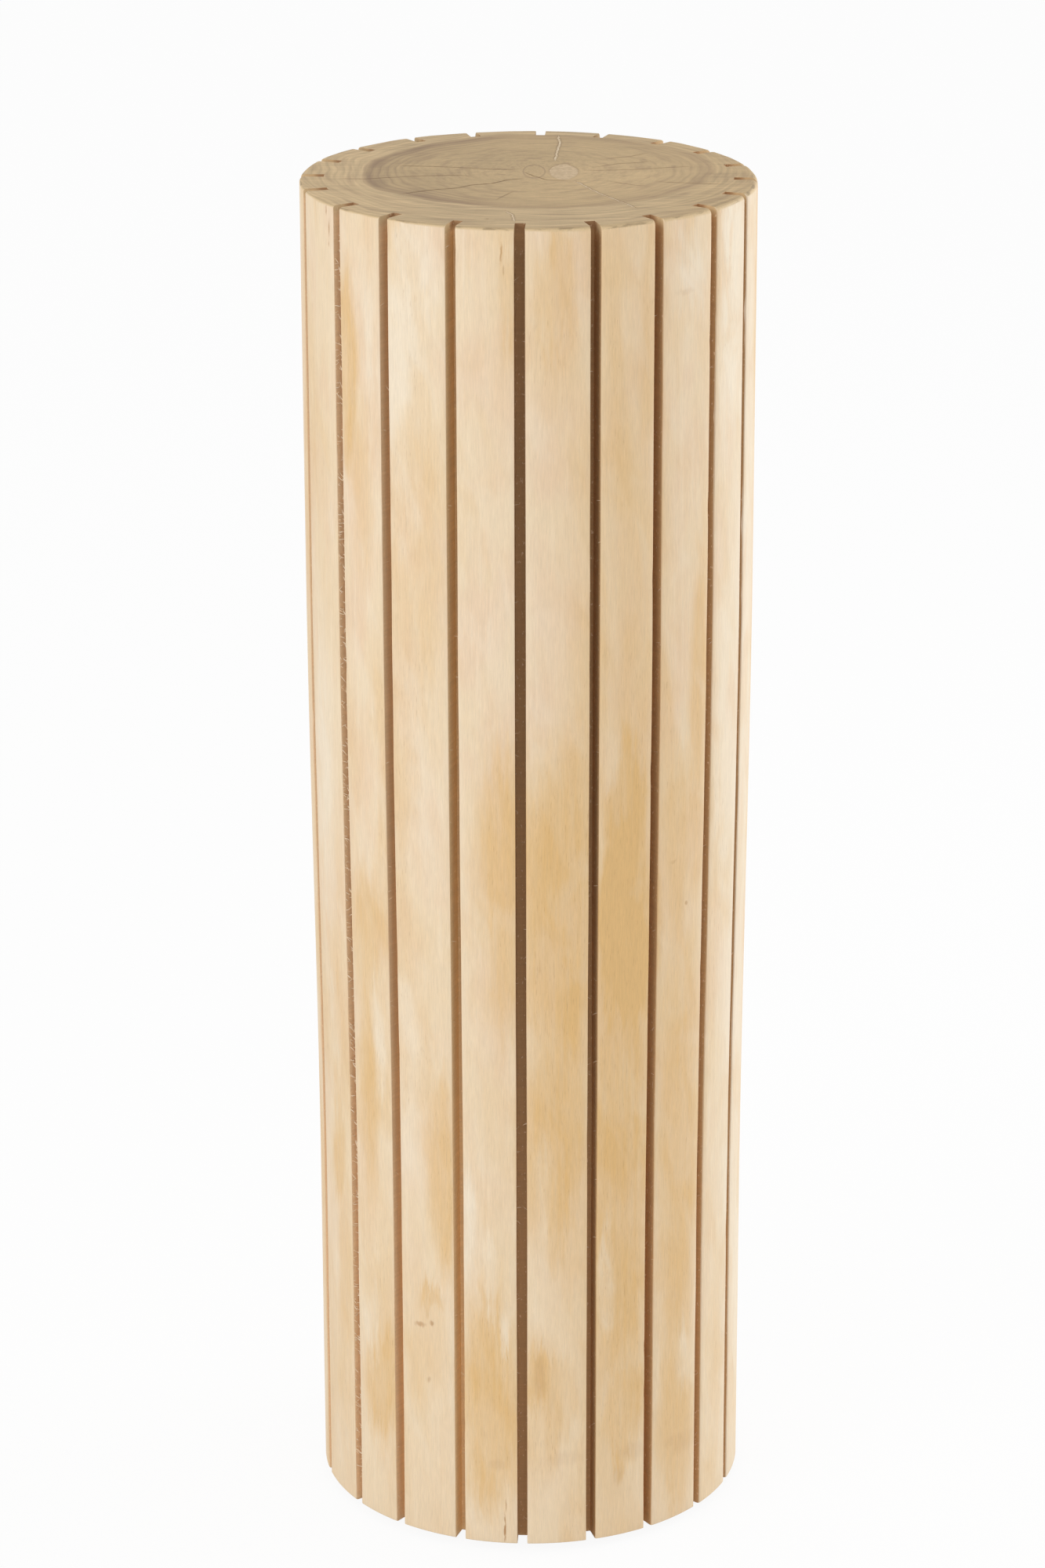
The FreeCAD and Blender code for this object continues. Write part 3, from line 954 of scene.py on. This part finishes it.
def trunk_grid():
    """Rows of points from the foot to the top, rounded over at both rims, and each column's kind."""
    row_count = int((TOP_Z - FOOT_Z) / ROW_STEP)
    heights = np.linspace(FOOT_Z + FIRST_ROW_HEIGHT, TOP_Z - LAST_ROW_DROP, row_count)
    ends = np.array([FOOT_Z, TOP_Z])
    all_heights = np.concatenate([ends[:1], heights, ends[1:]])
    columns, turned = trunk_columns(all_heights)
    plan = np.stack(columns, 1)
    count = plan.shape[1]
    round_over = np.where(turned, 1.0, 0.0)
    swings = np.linspace(0, math.pi / 2, RIM_STEPS + 1)

    def rim_rows(outline, radii, z, direction):
        lengths = np.linalg.norm(outline, axis=1)
        rows = []
        for swing in swings:
            inset = radii * (1 - math.cos(swing)) * round_over
            drop = np.where(turned, radii, GROOVE_END_ROWS_HEIGHT) * (1 - math.sin(swing))
            ring = outline * ((lengths - inset) / lengths)[:, None]
            rows.append(np.column_stack([ring, z + direction * drop]))
        return rows

    angles = np.degrees(np.arctan2(plan[-1][:, 0], -plan[-1][:, 1]))
    foot_rows = rim_rows(plan[0], np.full(count, FOOT_RIM_RADIUS), FOOT_Z, 1)[::-1]
    top_rows = rim_rows(plan[-1], rim_radius(angles), TOP_Z, -1)
    middle_rows = [np.column_stack([ring, np.full(count, z)]) for ring, z in zip(plan[1:-1], heights)]
    return np.stack(foot_rows + middle_rows + top_rows), np.array(turned)


# End grain: checks, filled hollows and nail holes


def wobbly_path(points, seed):
    """Path through the points in short steps, with the small kinks of a split."""
    corners = np.array(points)
    lengths = np.linalg.norm(np.diff(corners, axis=0), axis=1)
    along = np.concatenate([[0], np.cumsum(lengths)])
    count = max(int(along[-1] / CHECK_POINT_STEP), CHECK_LEAST_STEPS)
    places = np.linspace(0, along[-1], count + 1)
    path = np.stack([np.interp(places, along, corners[:, axis]) for axis in (0, 1)], 1)
    kinks = np.random.default_rng(seed).uniform(-1, 1, path.shape) * CHECK_WOBBLE
    kinks[[0, -1]] = 0
    return path + kinks


def across_path(path):
    """Unit vectors across a path, at its points."""
    along = np.gradient(path, axis=0)
    along /= np.linalg.norm(along, axis=1)[:, None]
    return np.column_stack([-along[:, 1], along[:, 0]])


def sliver(path, half_width):
    """Closed outline of a narrow sliver round a path, pointed at both ends."""
    steps = np.arange(len(path))
    taper = np.minimum(1, np.minimum(steps, steps[::-1]) / OUTLINE_TAPER_STEPS)
    aside = across_path(path) * (half_width * taper)[:, None]
    return np.concatenate([path + aside, (path - aside)[-2:0:-1]])


def heart_outline():
    """Long rounded outline with blunt ends and uneven sides."""
    turns = np.linspace(0, 2 * math.pi, HEART_OUTLINE_STEPS, endpoint=False)
    blunt = 2 / HEART_BLUNTNESS
    across = np.sign(np.cos(turns)) * np.abs(np.cos(turns)) ** blunt
    along = np.sign(np.sin(turns)) * np.abs(np.sin(turns)) ** blunt
    width = HEART_END_HALF_WIDTH + (HEART_HALF_WIDTH - HEART_END_HALF_WIDTH) * (1 - along**2)
    broad = HEART_BROAD_WAVE_SHARE * np.sin(HEART_BROAD_WAVES * turns + HEART_BROAD_WAVE_START_RADIANS)
    short = HEART_SHORT_WAVE_SHARE * np.sin(HEART_SHORT_WAVES * turns)
    uneven = 1 + broad + short
    outline = np.column_stack([across * width, along * HEART_HALF_LENGTH]) * uneven[:, None]
    return outline * HEART_FIT + np.array(HEART_MIDDLE)


def filled_paths():
    """Path and half width of each filled check."""
    paths = {}
    for seed, (name, (points, half_width)) in enumerate(FILLED_CHECKS.items()):
        paths[name] = (wobbly_path(points, FILLED_CHECK_SEED + seed), half_width)
    return paths


def filler_outlines():
    """Outline of each filler's pocket."""
    outlines = {"heart_filler": heart_outline()}
    for name, (path, half_width) in filled_paths().items():
        outlines[name] = sliver(path, half_width)
    return outlines


def nail_holes():
    """Outlines of the nail holes."""
    turns = np.linspace(0, 2 * math.pi, NAIL_HOLE_CORNERS, endpoint=False)
    circle = NAIL_HOLE_RADIUS * np.column_stack([np.cos(turns), np.sin(turns)])
    return [polar(NAIL_CIRCLE_RADIUS, angle) + circle for angle in NAIL_ANGLES]


def inside(outline, points):
    """Which points lie inside a closed outline. Its level edges are never straddled."""
    start = outline
    end = np.roll(outline, -1, axis=0)
    px = points[:, 0][:, None]
    py = points[:, 1][:, None]
    straddles = (start[:, 1] > py) != (end[:, 1] > py)
    level = end[:, 1] == start[:, 1]
    rise = np.where(level, 1.0, end[:, 1] - start[:, 1])
    crossing = start[:, 0] + (py - start[:, 1]) / rise * (end[:, 0] - start[:, 0])
    return np.sum(straddles & (px < crossing), axis=1) % 2 == 1


def nearness(points, paths):
    """Distance from each point to the nearest path, and that path's index and how far from its ends."""
    best = np.full(len(points), np.inf)
    which = np.zeros(len(points), int)
    share = np.zeros(len(points))
    for index, path in enumerate(paths):
        total = len(path) - 1
        for step in range(total):
            start = path[step]
            run = path[step + 1] - start
            along = np.clip(((points - start) @ run) / (run @ run), 0, 1)
            distance = np.linalg.norm(points - start - along[:, None] * run, axis=1)
            closer = distance < best
            best[closer] = distance[closer]
            which[closer] = index
            taper = min(DEPTH_TAPER_STEPS, total / 2)
            from_end = np.minimum(step + along, total - step - along) / taper
            share[closer] = np.minimum(from_end, 1)[closer]
    return best, which, share


class Cap:
    """Flat end of the trunk: a triangulated outline with checks and pockets in it."""

    def __init__(self, rim, point_step, seed):
        self.points = [tuple(point) for point in rim]
        self.rim_count = len(rim)
        self.edges = []
        self.pockets = []
        self.keep_clear = []
        self.scatter(rim, point_step, seed)

    def scatter(self, rim, point_step, seed):
        """Spreads loose points over the end, clear of its rim."""
        reach = np.linalg.norm(rim, axis=1).max()
        rng = np.random.default_rng(seed)
        ticks = np.arange(-reach, reach, point_step)
        grid = np.stack(np.meshgrid(ticks, ticks), -1).reshape(-1, 2)
        grid = grid + rng.uniform(-POINT_JITTER_SHARE, POINT_JITTER_SHARE, grid.shape) * point_step
        clear = inside(rim, grid)
        gaps = np.linalg.norm(grid[:, None] - rim[None], axis=2).min(1)
        self.loose = grid[clear & (gaps > point_step * RIM_CLEARANCE_SHARE)]

    def add_line(self, path, closed=False):
        """Adds a path that the triangles keep to."""
        first = len(self.points)
        self.points += [tuple(point) for point in path]
        count = len(path)
        self.edges += [(first + step, first + step + 1) for step in range(count - 1)]
        if closed:
            self.edges.append((first + count - 1, first))

    def add_pocket(self, outline, lift):
        """Adds a pocket: its outline, and the height of its floor above the end, negative if below."""
        self.add_line(outline, closed=True)
        self.pockets.append((outline, lift))

    def triangles(self):
        """Points and triangles of the end, and for each point the rim point that it stands for."""
        gaps = nearness(self.loose, self.keep_clear)[0]
        clear = self.loose[gaps > CHECK_SHADE_REACH * CHECK_SHADE_CLEARANCE_SHARE]
        points = self.points + [tuple(point) for point in clear]
        vectors = [Vector(point) for point in points]
        outline = list(range(self.rim_count))
        result = delaunay_2d_cdt(vectors, self.edges, [outline], INSIDE_OUTLINE, MERGE_DISTANCE)
        flat, _, faces, sources, _, _ = result
        rim_of = [next((source for source in group if source < self.rim_count), None) for group in sources]
        return np.array([tuple(point) for point in flat]), faces, rim_of


class Surface:
    """Points, faces and kinds of face of the trunk, and at each point the painted shade of a check."""

    def __init__(self, points):
        self.points = points
        self.painted_shades = [0.0] * len(points)
        self.faces = []
        self.kinds = []

    def add_point(self, x, y, z, painted_shade=0.0):
        """Adds a point and gives its index."""
        self.points.append((x, y, z))
        self.painted_shades.append(painted_shade)
        return len(self.points) - 1

    def add_face(self, face, kind):
        """Adds a face of one kind of surface."""
        self.faces.append(tuple(face))
        self.kinds.append(kind)

    def plan(self, ring):
        """Points in plan of a ring of indices."""
        return np.array(self.points)[ring][:, :2]


def close_top(surface, ring):
    """Closes the upper end, with open checks and the fillers' pockets, and returns the fillers' outlines."""
    checks = []
    for index, (points, half_width, depth) in enumerate(OPEN_CHECKS):
        checks.append((wobbly_path(points, CHECK_SEED + index), half_width, depth))
    filled = [(path, half_width, 0.0) for path, half_width in filled_paths().values()]
    outlines = filler_outlines()
    cap = Cap(surface.plan(ring), TOP_POINT_STEP, TOP_SEED)
    for path, half_width, _ in checks:
        cap.add_line(path)
        cap.add_line(sliver(path, half_width), closed=True)
    for path, half_width, _ in checks + filled:
        cap.add_line(sliver(path, half_width + CHECK_SHADE_REACH), closed=True)
    for outline in outlines.values():
        cap.add_pocket(outline, -POCKET_DEPTH)
    cap.keep_clear = [path for path, _, _ in checks]
    cap.keep_clear += [np.concatenate([outline, outline[:1]]) for outline in outlines.values()]
    close_end(surface, ring, cap, checks + filled, TOP_Z, face_down=False)
    return outlines


def close_foot(surface, ring):
    """Closes the lower end, with the nail holes."""
    cap = Cap(surface.plan(ring), FOOT_POINT_STEP, FOOT_SEED)
    for outline in nail_holes():
        cap.add_pocket(outline, NAIL_HOLE_DEPTH)
    close_end(surface, ring, cap, [], FOOT_Z, face_down=True)


def close_end(surface, ring, cap, checks, z, face_down):
    """Adds a flat end inside a ring, sunk along its checks and darkened beside them with painted shade, and
    let in at its pockets.
    """
    flat, triangles, rim_of = cap.triangles()
    sink = np.zeros(len(flat))
    painted_shade = np.zeros(len(flat))
    if checks:
        distance, which, share = nearness(flat, [path for path, _, _ in checks])
        widths = np.array([half_width for _, half_width, _ in checks])[which] * share
        depths = np.array([depth for _, _, depth in checks])[which] * share
        sink = depths * np.clip(1 - distance / np.maximum(widths, CHECK_LEAST_HALF_WIDTH), 0, 1)
        painted_shade = share * np.clip(1 - (distance - widths) / CHECK_SHADE_REACH, 0, 1)
    face_points = {vertex: ring[source] for vertex, source in enumerate(rim_of) if source is not None}
    middles = np.array([flat[list(triangle)].mean(0) for triangle in triangles])
    in_pocket = np.full(len(triangles), -1)
    for number, (outline, _) in enumerate(cap.pockets):
        in_pocket[inside(outline, middles)] = number
    floor_points = {}

    def face_point(vertex):
        if vertex not in face_points:
            face_points[vertex] = surface.add_point(*flat[vertex], z - sink[vertex], painted_shade[vertex])
        return face_points[vertex]

    def floor_point(vertex, lift):
        if vertex not in floor_points:
            floor_points[vertex] = surface.add_point(*flat[vertex], z + lift)
        return floor_points[vertex]

    def add(face):
        surface.add_face(face[::-1] if face_down else face, END_GRAIN)

    edges = {}
    for triangle, pocket in zip(triangles, in_pocket):
        for start, end in zip(triangle, triangle[1:] + triangle[:1]):
            edges[(start, end)] = pocket
    for triangle, pocket in zip(triangles, in_pocket):
        if pocket < 0:
            add([face_point(vertex) for vertex in triangle])
            continue
        lift = cap.pockets[pocket][1]
        add([floor_point(vertex, lift) for vertex in triangle])
        for start, end in zip(triangle, triangle[1:] + triangle[:1]):
            if edges.get((end, start), pocket) != pocket:
                wall_foot = [floor_point(end, lift), floor_point(start, lift)]
                add([face_point(start), face_point(end)] + wall_foot)


def bake_map(mesh, across, row_shares, grid_faces):
    """Map that lays the sides out flat under the two ends, which are drawn at about twice their scale."""
    layer = mesh.uv_layers.new(name="OFBake")
    corners = np.zeros(len(mesh.loops), np.int32)
    mesh.loops.foreach_get("vertex_index", corners)
    starts = np.zeros(len(mesh.polygons), np.int32)
    mesh.polygons.foreach_get("loop_start", starts)
    places = np.zeros(len(mesh.vertices) * 3)
    mesh.vertices.foreach_get("co", places)
    places = places.reshape(-1, 3) / MM
    side_corners = starts[grid_faces]
    spots = places[corners][:, :2] / TOP_RADIUS * BAKE_END_RADIUS
    on_top = places[corners][:, 2] > (TOP_Z + FOOT_Z) / 2
    spots = spots + np.where(on_top[:, None], BAKE_TOP_MIDDLE, BAKE_FOOT_MIDDLE)
    columns = len(across) - 1
    column = np.arange(grid_faces) % columns
    row = np.arange(grid_faces) // columns
    width = 1 - 2 * BAKE_MARGIN
    left = BAKE_MARGIN + width * across[column]
    right = BAKE_MARGIN + width * across[column + 1]
    low = BAKE_MARGIN + BAKE_SIDES_HEIGHT * row_shares[row]
    high = BAKE_MARGIN + BAKE_SIDES_HEIGHT * row_shares[row + 1]
    flat = np.stack([left, low, right, low, right, high, left, high], 1).reshape(-1, 2)
    spots[:side_corners] = flat
    layer.data.foreach_set("uv", spots.ravel())


def grooved_trunk():
    """Whole trunk as one mesh: turned slats, sawn grooves and both ends. Gives the fillers' outlines too."""
    rows, turned = trunk_grid()
    row_count, column_count, _ = rows.shape
    surface = Surface([tuple(point) for point in rows.reshape(-1, 3)])
    for row in range(row_count - 1):
        turned_kind = END_GRAIN if row == row_count - 2 else SIDE
        for column in range(column_count):
            following = (column + 1) % column_count
            low = row * column_count
            high = low + column_count
            face = (low + column, low + following, high + following, high + column)
            surface.add_face(face, turned_kind if turned[column] and turned[following] else GROOVE)
    grid_faces = len(surface.faces)
    foot_ring = list(range(column_count))
    top_ring = [(row_count - 1) * column_count + column for column in range(column_count)]
    outlines = close_top(surface, top_ring)
    close_foot(surface, foot_ring)
    materials = [turned_side_wood(), end_grain_wood(), sawn_groove_wood()]
    trunk = new_piece("trunk", surface.points, surface.faces, materials, surface.kinds)
    # Painted shade along the checks, kept at each point
    layer = trunk.data.attributes.new("check_stain", "FLOAT", "POINT")
    layer.data.foreach_set("value", np.array(surface.painted_shades, np.float32))
    middle = rows[row_count // 2]
    steps = np.linalg.norm(np.roll(middle, -1, axis=0) - middle, axis=1)
    across = np.concatenate([[0], np.cumsum(steps)]) / steps.sum()
    row_shares = (rows[:, :, 2].mean(1) - FOOT_Z) / (TOP_Z - FOOT_Z)
    bake_map(trunk.data, across, row_shares, grid_faces)
    return trunk, outlines


# Fillers, glides and loose fibres


def counterclockwise(outline):
    """The outline, turned round where it runs clockwise."""
    x, y = outline.T
    area = np.sum(x * np.roll(y, -1) - np.roll(x, -1) * y)
    return outline if area > 0 else outline[::-1]


def inset(outline, gap):
    """Counterclockwise outline moved inwards by a gap."""
    along = np.roll(outline, -1, axis=0) - np.roll(outline, 1, axis=0)
    along /= np.linalg.norm(along, axis=1)[:, None]
    return outline + gap * np.column_stack([-along[:, 1], along[:, 0]])


def filler(name, outline, material, seed):
    """Putty in its pocket: a slab with an uneven top just below the end grain."""
    rim = inset(counterclockwise(outline), FILLER_GAP)
    flat, triangles, _ = Cap(rim, FILLER_POINT_STEP, seed).triangles()
    uneven = np.random.default_rng(seed).uniform(0, FILLER_UNEVENNESS, len(flat))
    top = np.column_stack([flat, TOP_Z - FILLER_SINK - uneven])
    foot = np.column_stack([flat, np.full(len(flat), TOP_Z - POCKET_DEPTH + FILLER_GAP)])
    count = len(flat)
    faces = [tuple(triangle) for triangle in triangles]
    faces += [tuple(count + vertex for vertex in triangle[::-1]) for triangle in triangles]
    sides = {(start, end) for face in triangles for start, end in zip(face, face[1:] + face[:1])}
    edges = sorted(edge for edge in sides if edge[::-1] not in sides)
    faces += [(start, start + count, end + count, end) for start, end in edges]
    return new_piece(name, np.concatenate([top, foot]), faces, [material])


# Felt disc from its lower middle to its upper middle: distance in from the edge, share of the height
FELT_PROFILE = (
    (6.0, 0.0),
    (3.0, 0.0),
    (0.9, 0.0),
    (0.2, 0.1),
    (0.0, 0.35),
    (0.0, 0.7),
    (0.2, 0.95),
    (0.9, 1.0),
    (5.0, 1.0),
)
FELT_CORNERS = 72
FELT_RAGGED = 0.14


def felt_disc(name, node, material, seed):
    """Soft disc with a ragged cut edge."""
    low, high = (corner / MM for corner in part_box(node))
    middle = (low + high) / 2
    radius = (high.x - low.x) / 2
    rng = np.random.default_rng(seed)
    turns = np.linspace(0, 2 * math.pi, FELT_CORNERS, endpoint=False)
    around = np.column_stack([np.cos(turns), np.sin(turns)])
    points = []
    for inward, share in FELT_PROFILE:
        reach = radius - inward - rng.uniform(0, FELT_RAGGED, FELT_CORNERS)
        level = low.z + (high.z - low.z) * share
        plan = around * reach[:, None] + np.array([middle.x, middle.y])
        points += [(x, y, level) for x, y in plan]
    rows = len(FELT_PROFILE)
    points += [(middle.x, middle.y, low.z), (middle.x, middle.y, high.z)]
    faces = []
    for corner in range(FELT_CORNERS):
        following = (corner + 1) % FELT_CORNERS
        faces.append((rows * FELT_CORNERS, following, corner))
        for row in range(rows - 1):
            start = row * FELT_CORNERS
            end = start + FELT_CORNERS
            faces.append((start + corner, start + following, end + following, end + corner))
        last = (rows - 1) * FELT_CORNERS
        faces.append((last + corner, last + following, rows * FELT_CORNERS + 1))
    return new_piece(name, points, faces, [material])


# Torn fibres left in the grooves: how many in each, their length, thickness and depth below the face,
# how far their roots reach into the wall, how they slope, dive, curl and taper, and how clear they stay
# of the ends
FIBRES_PER_GROOVE = 46
FIBRE_LENGTH = (0.9, 4.2)
FIBRE_THICKNESS = (0.14, 0.4)
FIBRE_DEPTH = (0.45, 3.0)
FIBRE_ROOT = 0.9
FIBRE_SLOPE = 0.45
FIBRE_DIVE = 0.15
FIBRE_CURL = 0.25
FIBRE_INWARD_CURL = 0.1
FIBRE_TAPER = 0.6
FIBRE_END_GAP = 12.0
FIBRE_STEPS = 4

# The first groove is the most torn
TORN_GROOVE = 0
TORN_FIBRES = 420
TORN_LENGTH = (2.0, 6.0)
TORN_DEPTH = (0.3, 1.0)
TORN_THICKNESS = (0.3, 0.7)


def add_fibre(points, faces, spine, thickness, outward, upright):
    """Adds a three-sided fibre that tapers along its spine to a tip."""
    first = len(points)
    for step, middle in enumerate(spine[:-1]):
        half = thickness / 2 * (1 - FIBRE_TAPER * step / FIBRE_STEPS)
        for corner in range(3):
            turn = 2 * math.pi * corner / 3
            points.append(middle + half * (outward * math.cos(turn) + upright * math.sin(turn)))
    points.append(spine[-1])
    tip = len(points) - 1
    last = tip - 3
    for corner in range(3):
        following = (corner + 1) % 3
        for low in range(first, last, 3):
            high = low + 3
            faces.append((low + corner, low + following, high + following, high + corner))
        faces.append((last + corner, last + following, tip))
    faces.append((first + 2, first + 1, first))


def groove_fibres(material):
    """Tapering fibres rooted in the groove walls, which lie across the groove."""
    rng = np.random.default_rng(FIBRE_SEED)
    points = []
    faces = []
    upward = np.array([0.0, 0.0, 1.0])
    for groove, angle in enumerate(groove_angles()):
        turn = math.radians(angle)
        outward = np.array([math.sin(turn), -math.cos(turn), 0.0])
        sideways = np.array([math.cos(turn), math.sin(turn), 0.0])
        torn = groove == TORN_GROOVE
        count = TORN_FIBRES if torn else FIBRES_PER_GROOVE
        depths = TORN_DEPTH if torn else FIBRE_DEPTH
        lengths = TORN_LENGTH if torn else FIBRE_LENGTH
        thicknesses = TORN_THICKNESS if torn else FIBRE_THICKNESS
        for _ in range(count):
            side = rng.choice((-1, 1))
            z = rng.uniform(FOOT_Z + FIBRE_END_GAP, TOP_Z - FIBRE_END_GAP)
            out = trunk_radius(z) - rng.uniform(*depths)
            root = outward * out + sideways * side * (GROOVE_WIDTH / 2 + FIBRE_ROOT) + upward * z
            slope = rng.normal(0, FIBRE_SLOPE)
            heading = -side * sideways + upward * slope - outward * rng.uniform(0, FIBRE_DIVE)
            heading /= np.linalg.norm(heading)
            curl = upward * rng.normal(0, FIBRE_CURL) - outward * FIBRE_INWARD_CURL
            length = rng.uniform(*lengths)
            shares = [step / FIBRE_STEPS for step in range(FIBRE_STEPS + 1)]
            spine = [root + length * (heading * share + curl * share * share) for share in shares]
            add_fibre(points, faces, spine, rng.uniform(*thicknesses), outward, side * upward)
    return new_piece("groove_fibres", points, faces, [material])


# Studio

# Camera: where it stands, how far it looks down, its small lean and its lens
CAMERA_PLACE = (-4.2, -2751.7, 1404.6)
CAMERA_PITCH = 19.305
CAMERA_LEAN = -0.12
CAMERA_LENS = 113.227
CAMERA_FRAME_LONG_SIDE = 36.0
CAMERA_SIGHT = 100000.0

# Soft boxes: angle round the trunk, angle above the floor, distance, width, height and watts
SOFT_BOXES = {
    "left_soft_box": (-46.0, 20.0, 2600.0, 1200.0, 1600.0, 15.0),
    "right_soft_box": (108.0, 15.0, 2400.0, 1200.0, 1800.0, 18.0),
}

# Floor and surroundings: the floor's reach and tone, how much of its white is glow, and the light all round
FLOOR_REACH = 20000.0
FLOOR_TONE = (0.9, 0.9, 0.9, 1.0)
FLOOR_GLOW = 0.92
WORLD_LIGHT = 0.76
WHITE = (1.0, 1.0, 1.0, 1.0)


def studio_camera():
    """Camera at the photograph's viewing angle."""
    data = bpy.data.cameras.new("camera")
    data.lens = CAMERA_LENS
    data.sensor_width = CAMERA_FRAME_LONG_SIDE
    data.clip_end = CAMERA_SIGHT * MM
    camera = bpy.data.objects.new("camera", data)
    place = Matrix.Translation(Vector(CAMERA_PLACE) * MM)
    pitch = Matrix.Rotation(math.radians(90 - CAMERA_PITCH), 4, "X")
    lean = Matrix.Rotation(math.radians(CAMERA_LEAN), 4, "Z")
    camera.matrix_world = place @ pitch @ lean
    bpy.context.scene.collection.objects.link(camera)
    bpy.context.scene.camera = camera


def soft_box(name, azimuth, elevation, distance, width, height, watts):
    """Rectangular lamp that looks at the middle of the trunk."""
    data = bpy.data.lights.new(name, "AREA")
    data.shape = "RECTANGLE"
    data.size = width * MM
    data.size_y = height * MM
    data.energy = watts
    lamp = bpy.data.objects.new(name, data)
    turn = math.radians(azimuth)
    lift = math.radians(elevation)
    back = Vector((math.sin(turn) * math.cos(lift), -math.cos(turn) * math.cos(lift), math.sin(lift)))
    lamp.location = (back * distance + Vector((0, 0, (FOOT_Z + TOP_Z) / 2))) * MM
    lamp.rotation_euler = back.to_track_quat("Z", "Y").to_euler()
    bpy.context.scene.collection.objects.link(lamp)


def studio_world():
    """Soft white surroundings, seen as plain white."""
    world = bpy.data.worlds.new("studio")
    bpy.context.scene.world = world
    finish = Finish(world)
    strength = WORLD_LIGHT + finish.seen() * (1 - WORLD_LIGHT)
    shader = finish.node("ShaderNodeBackground", {}, {"Color": WHITE, "Strength": strength})
    finish.node("ShaderNodeOutputWorld", {}, {"Surface": shader})


def studio_floor():
    """Pale floor that looks almost white and keeps a soft shadow."""
    mesh = bpy.data.meshes.new("floor")
    reach = FLOOR_REACH * MM
    corners = [(-reach, -reach, 0), (reach, -reach, 0), (reach, reach, 0), (-reach, reach, 0)]
    mesh.from_pydata(corners, [], [(0, 1, 2, 3)])
    floor = bpy.data.objects.new("floor", mesh)
    bpy.context.scene.collection.objects.link(floor)
    finish = new_finish("studio_floor")
    matt = finish.node("ShaderNodeBsdfDiffuse", {}, {"Color": FLOOR_TONE})
    glow = finish.node("ShaderNodeEmission", {}, {"Color": WHITE, "Strength": 1.0})
    both = finish.node("ShaderNodeMixShader", {}, {0: finish.seen() * FLOOR_GLOW, 1: matt, 2: glow})
    finish.node("ShaderNodeOutputMaterial", {}, {"Surface": both})
    mesh.materials.append(finish.owner)


def studio():
    """Camera, surroundings, floor and lamps."""
    studio_camera()
    studio_world()
    studio_floor()
    for name, setting in SOFT_BOXES.items():
        soft_box(name, *setting)


bpy.context.scene.view_settings.view_transform = "Standard"
studio()
trunk, outlines = grooved_trunk()
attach(trunk, "root")
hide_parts("grooved_trunk")

heart_putty = putty("heart_putty", PUTTY, PUTTY_SHADE)
check_putty = putty("check_putty", PUTTY_PALE, PUTTY)
for seed, (node, outline) in enumerate(outlines.items()):
    paste = heart_putty if node == "heart_filler" else check_putty
    piece = filler(node.replace("filler", "putty"), outline, paste, FILLER_SEED + seed)
    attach(piece, "root")
    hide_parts(node)

felt_finish = wool_felt()
nylon_finish = moulded_nylon()
for seed, corner in enumerate(("front_right", "rear_right", "rear_left", "front_left")):
    disc = felt_disc("felt_disc_" + corner, "glide_felt_" + corner, felt_finish, FELT_SEED + seed)
    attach(disc, "root")
    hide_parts("glide_felt_" + corner)
    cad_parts["glide_cup_" + corner].material_slots[0].material = nylon_finish
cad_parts["glide_nails"].material_slots[0].material = drawn_steel()

fibres = groove_fibres(torn_fibre())
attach(fibres, "root")
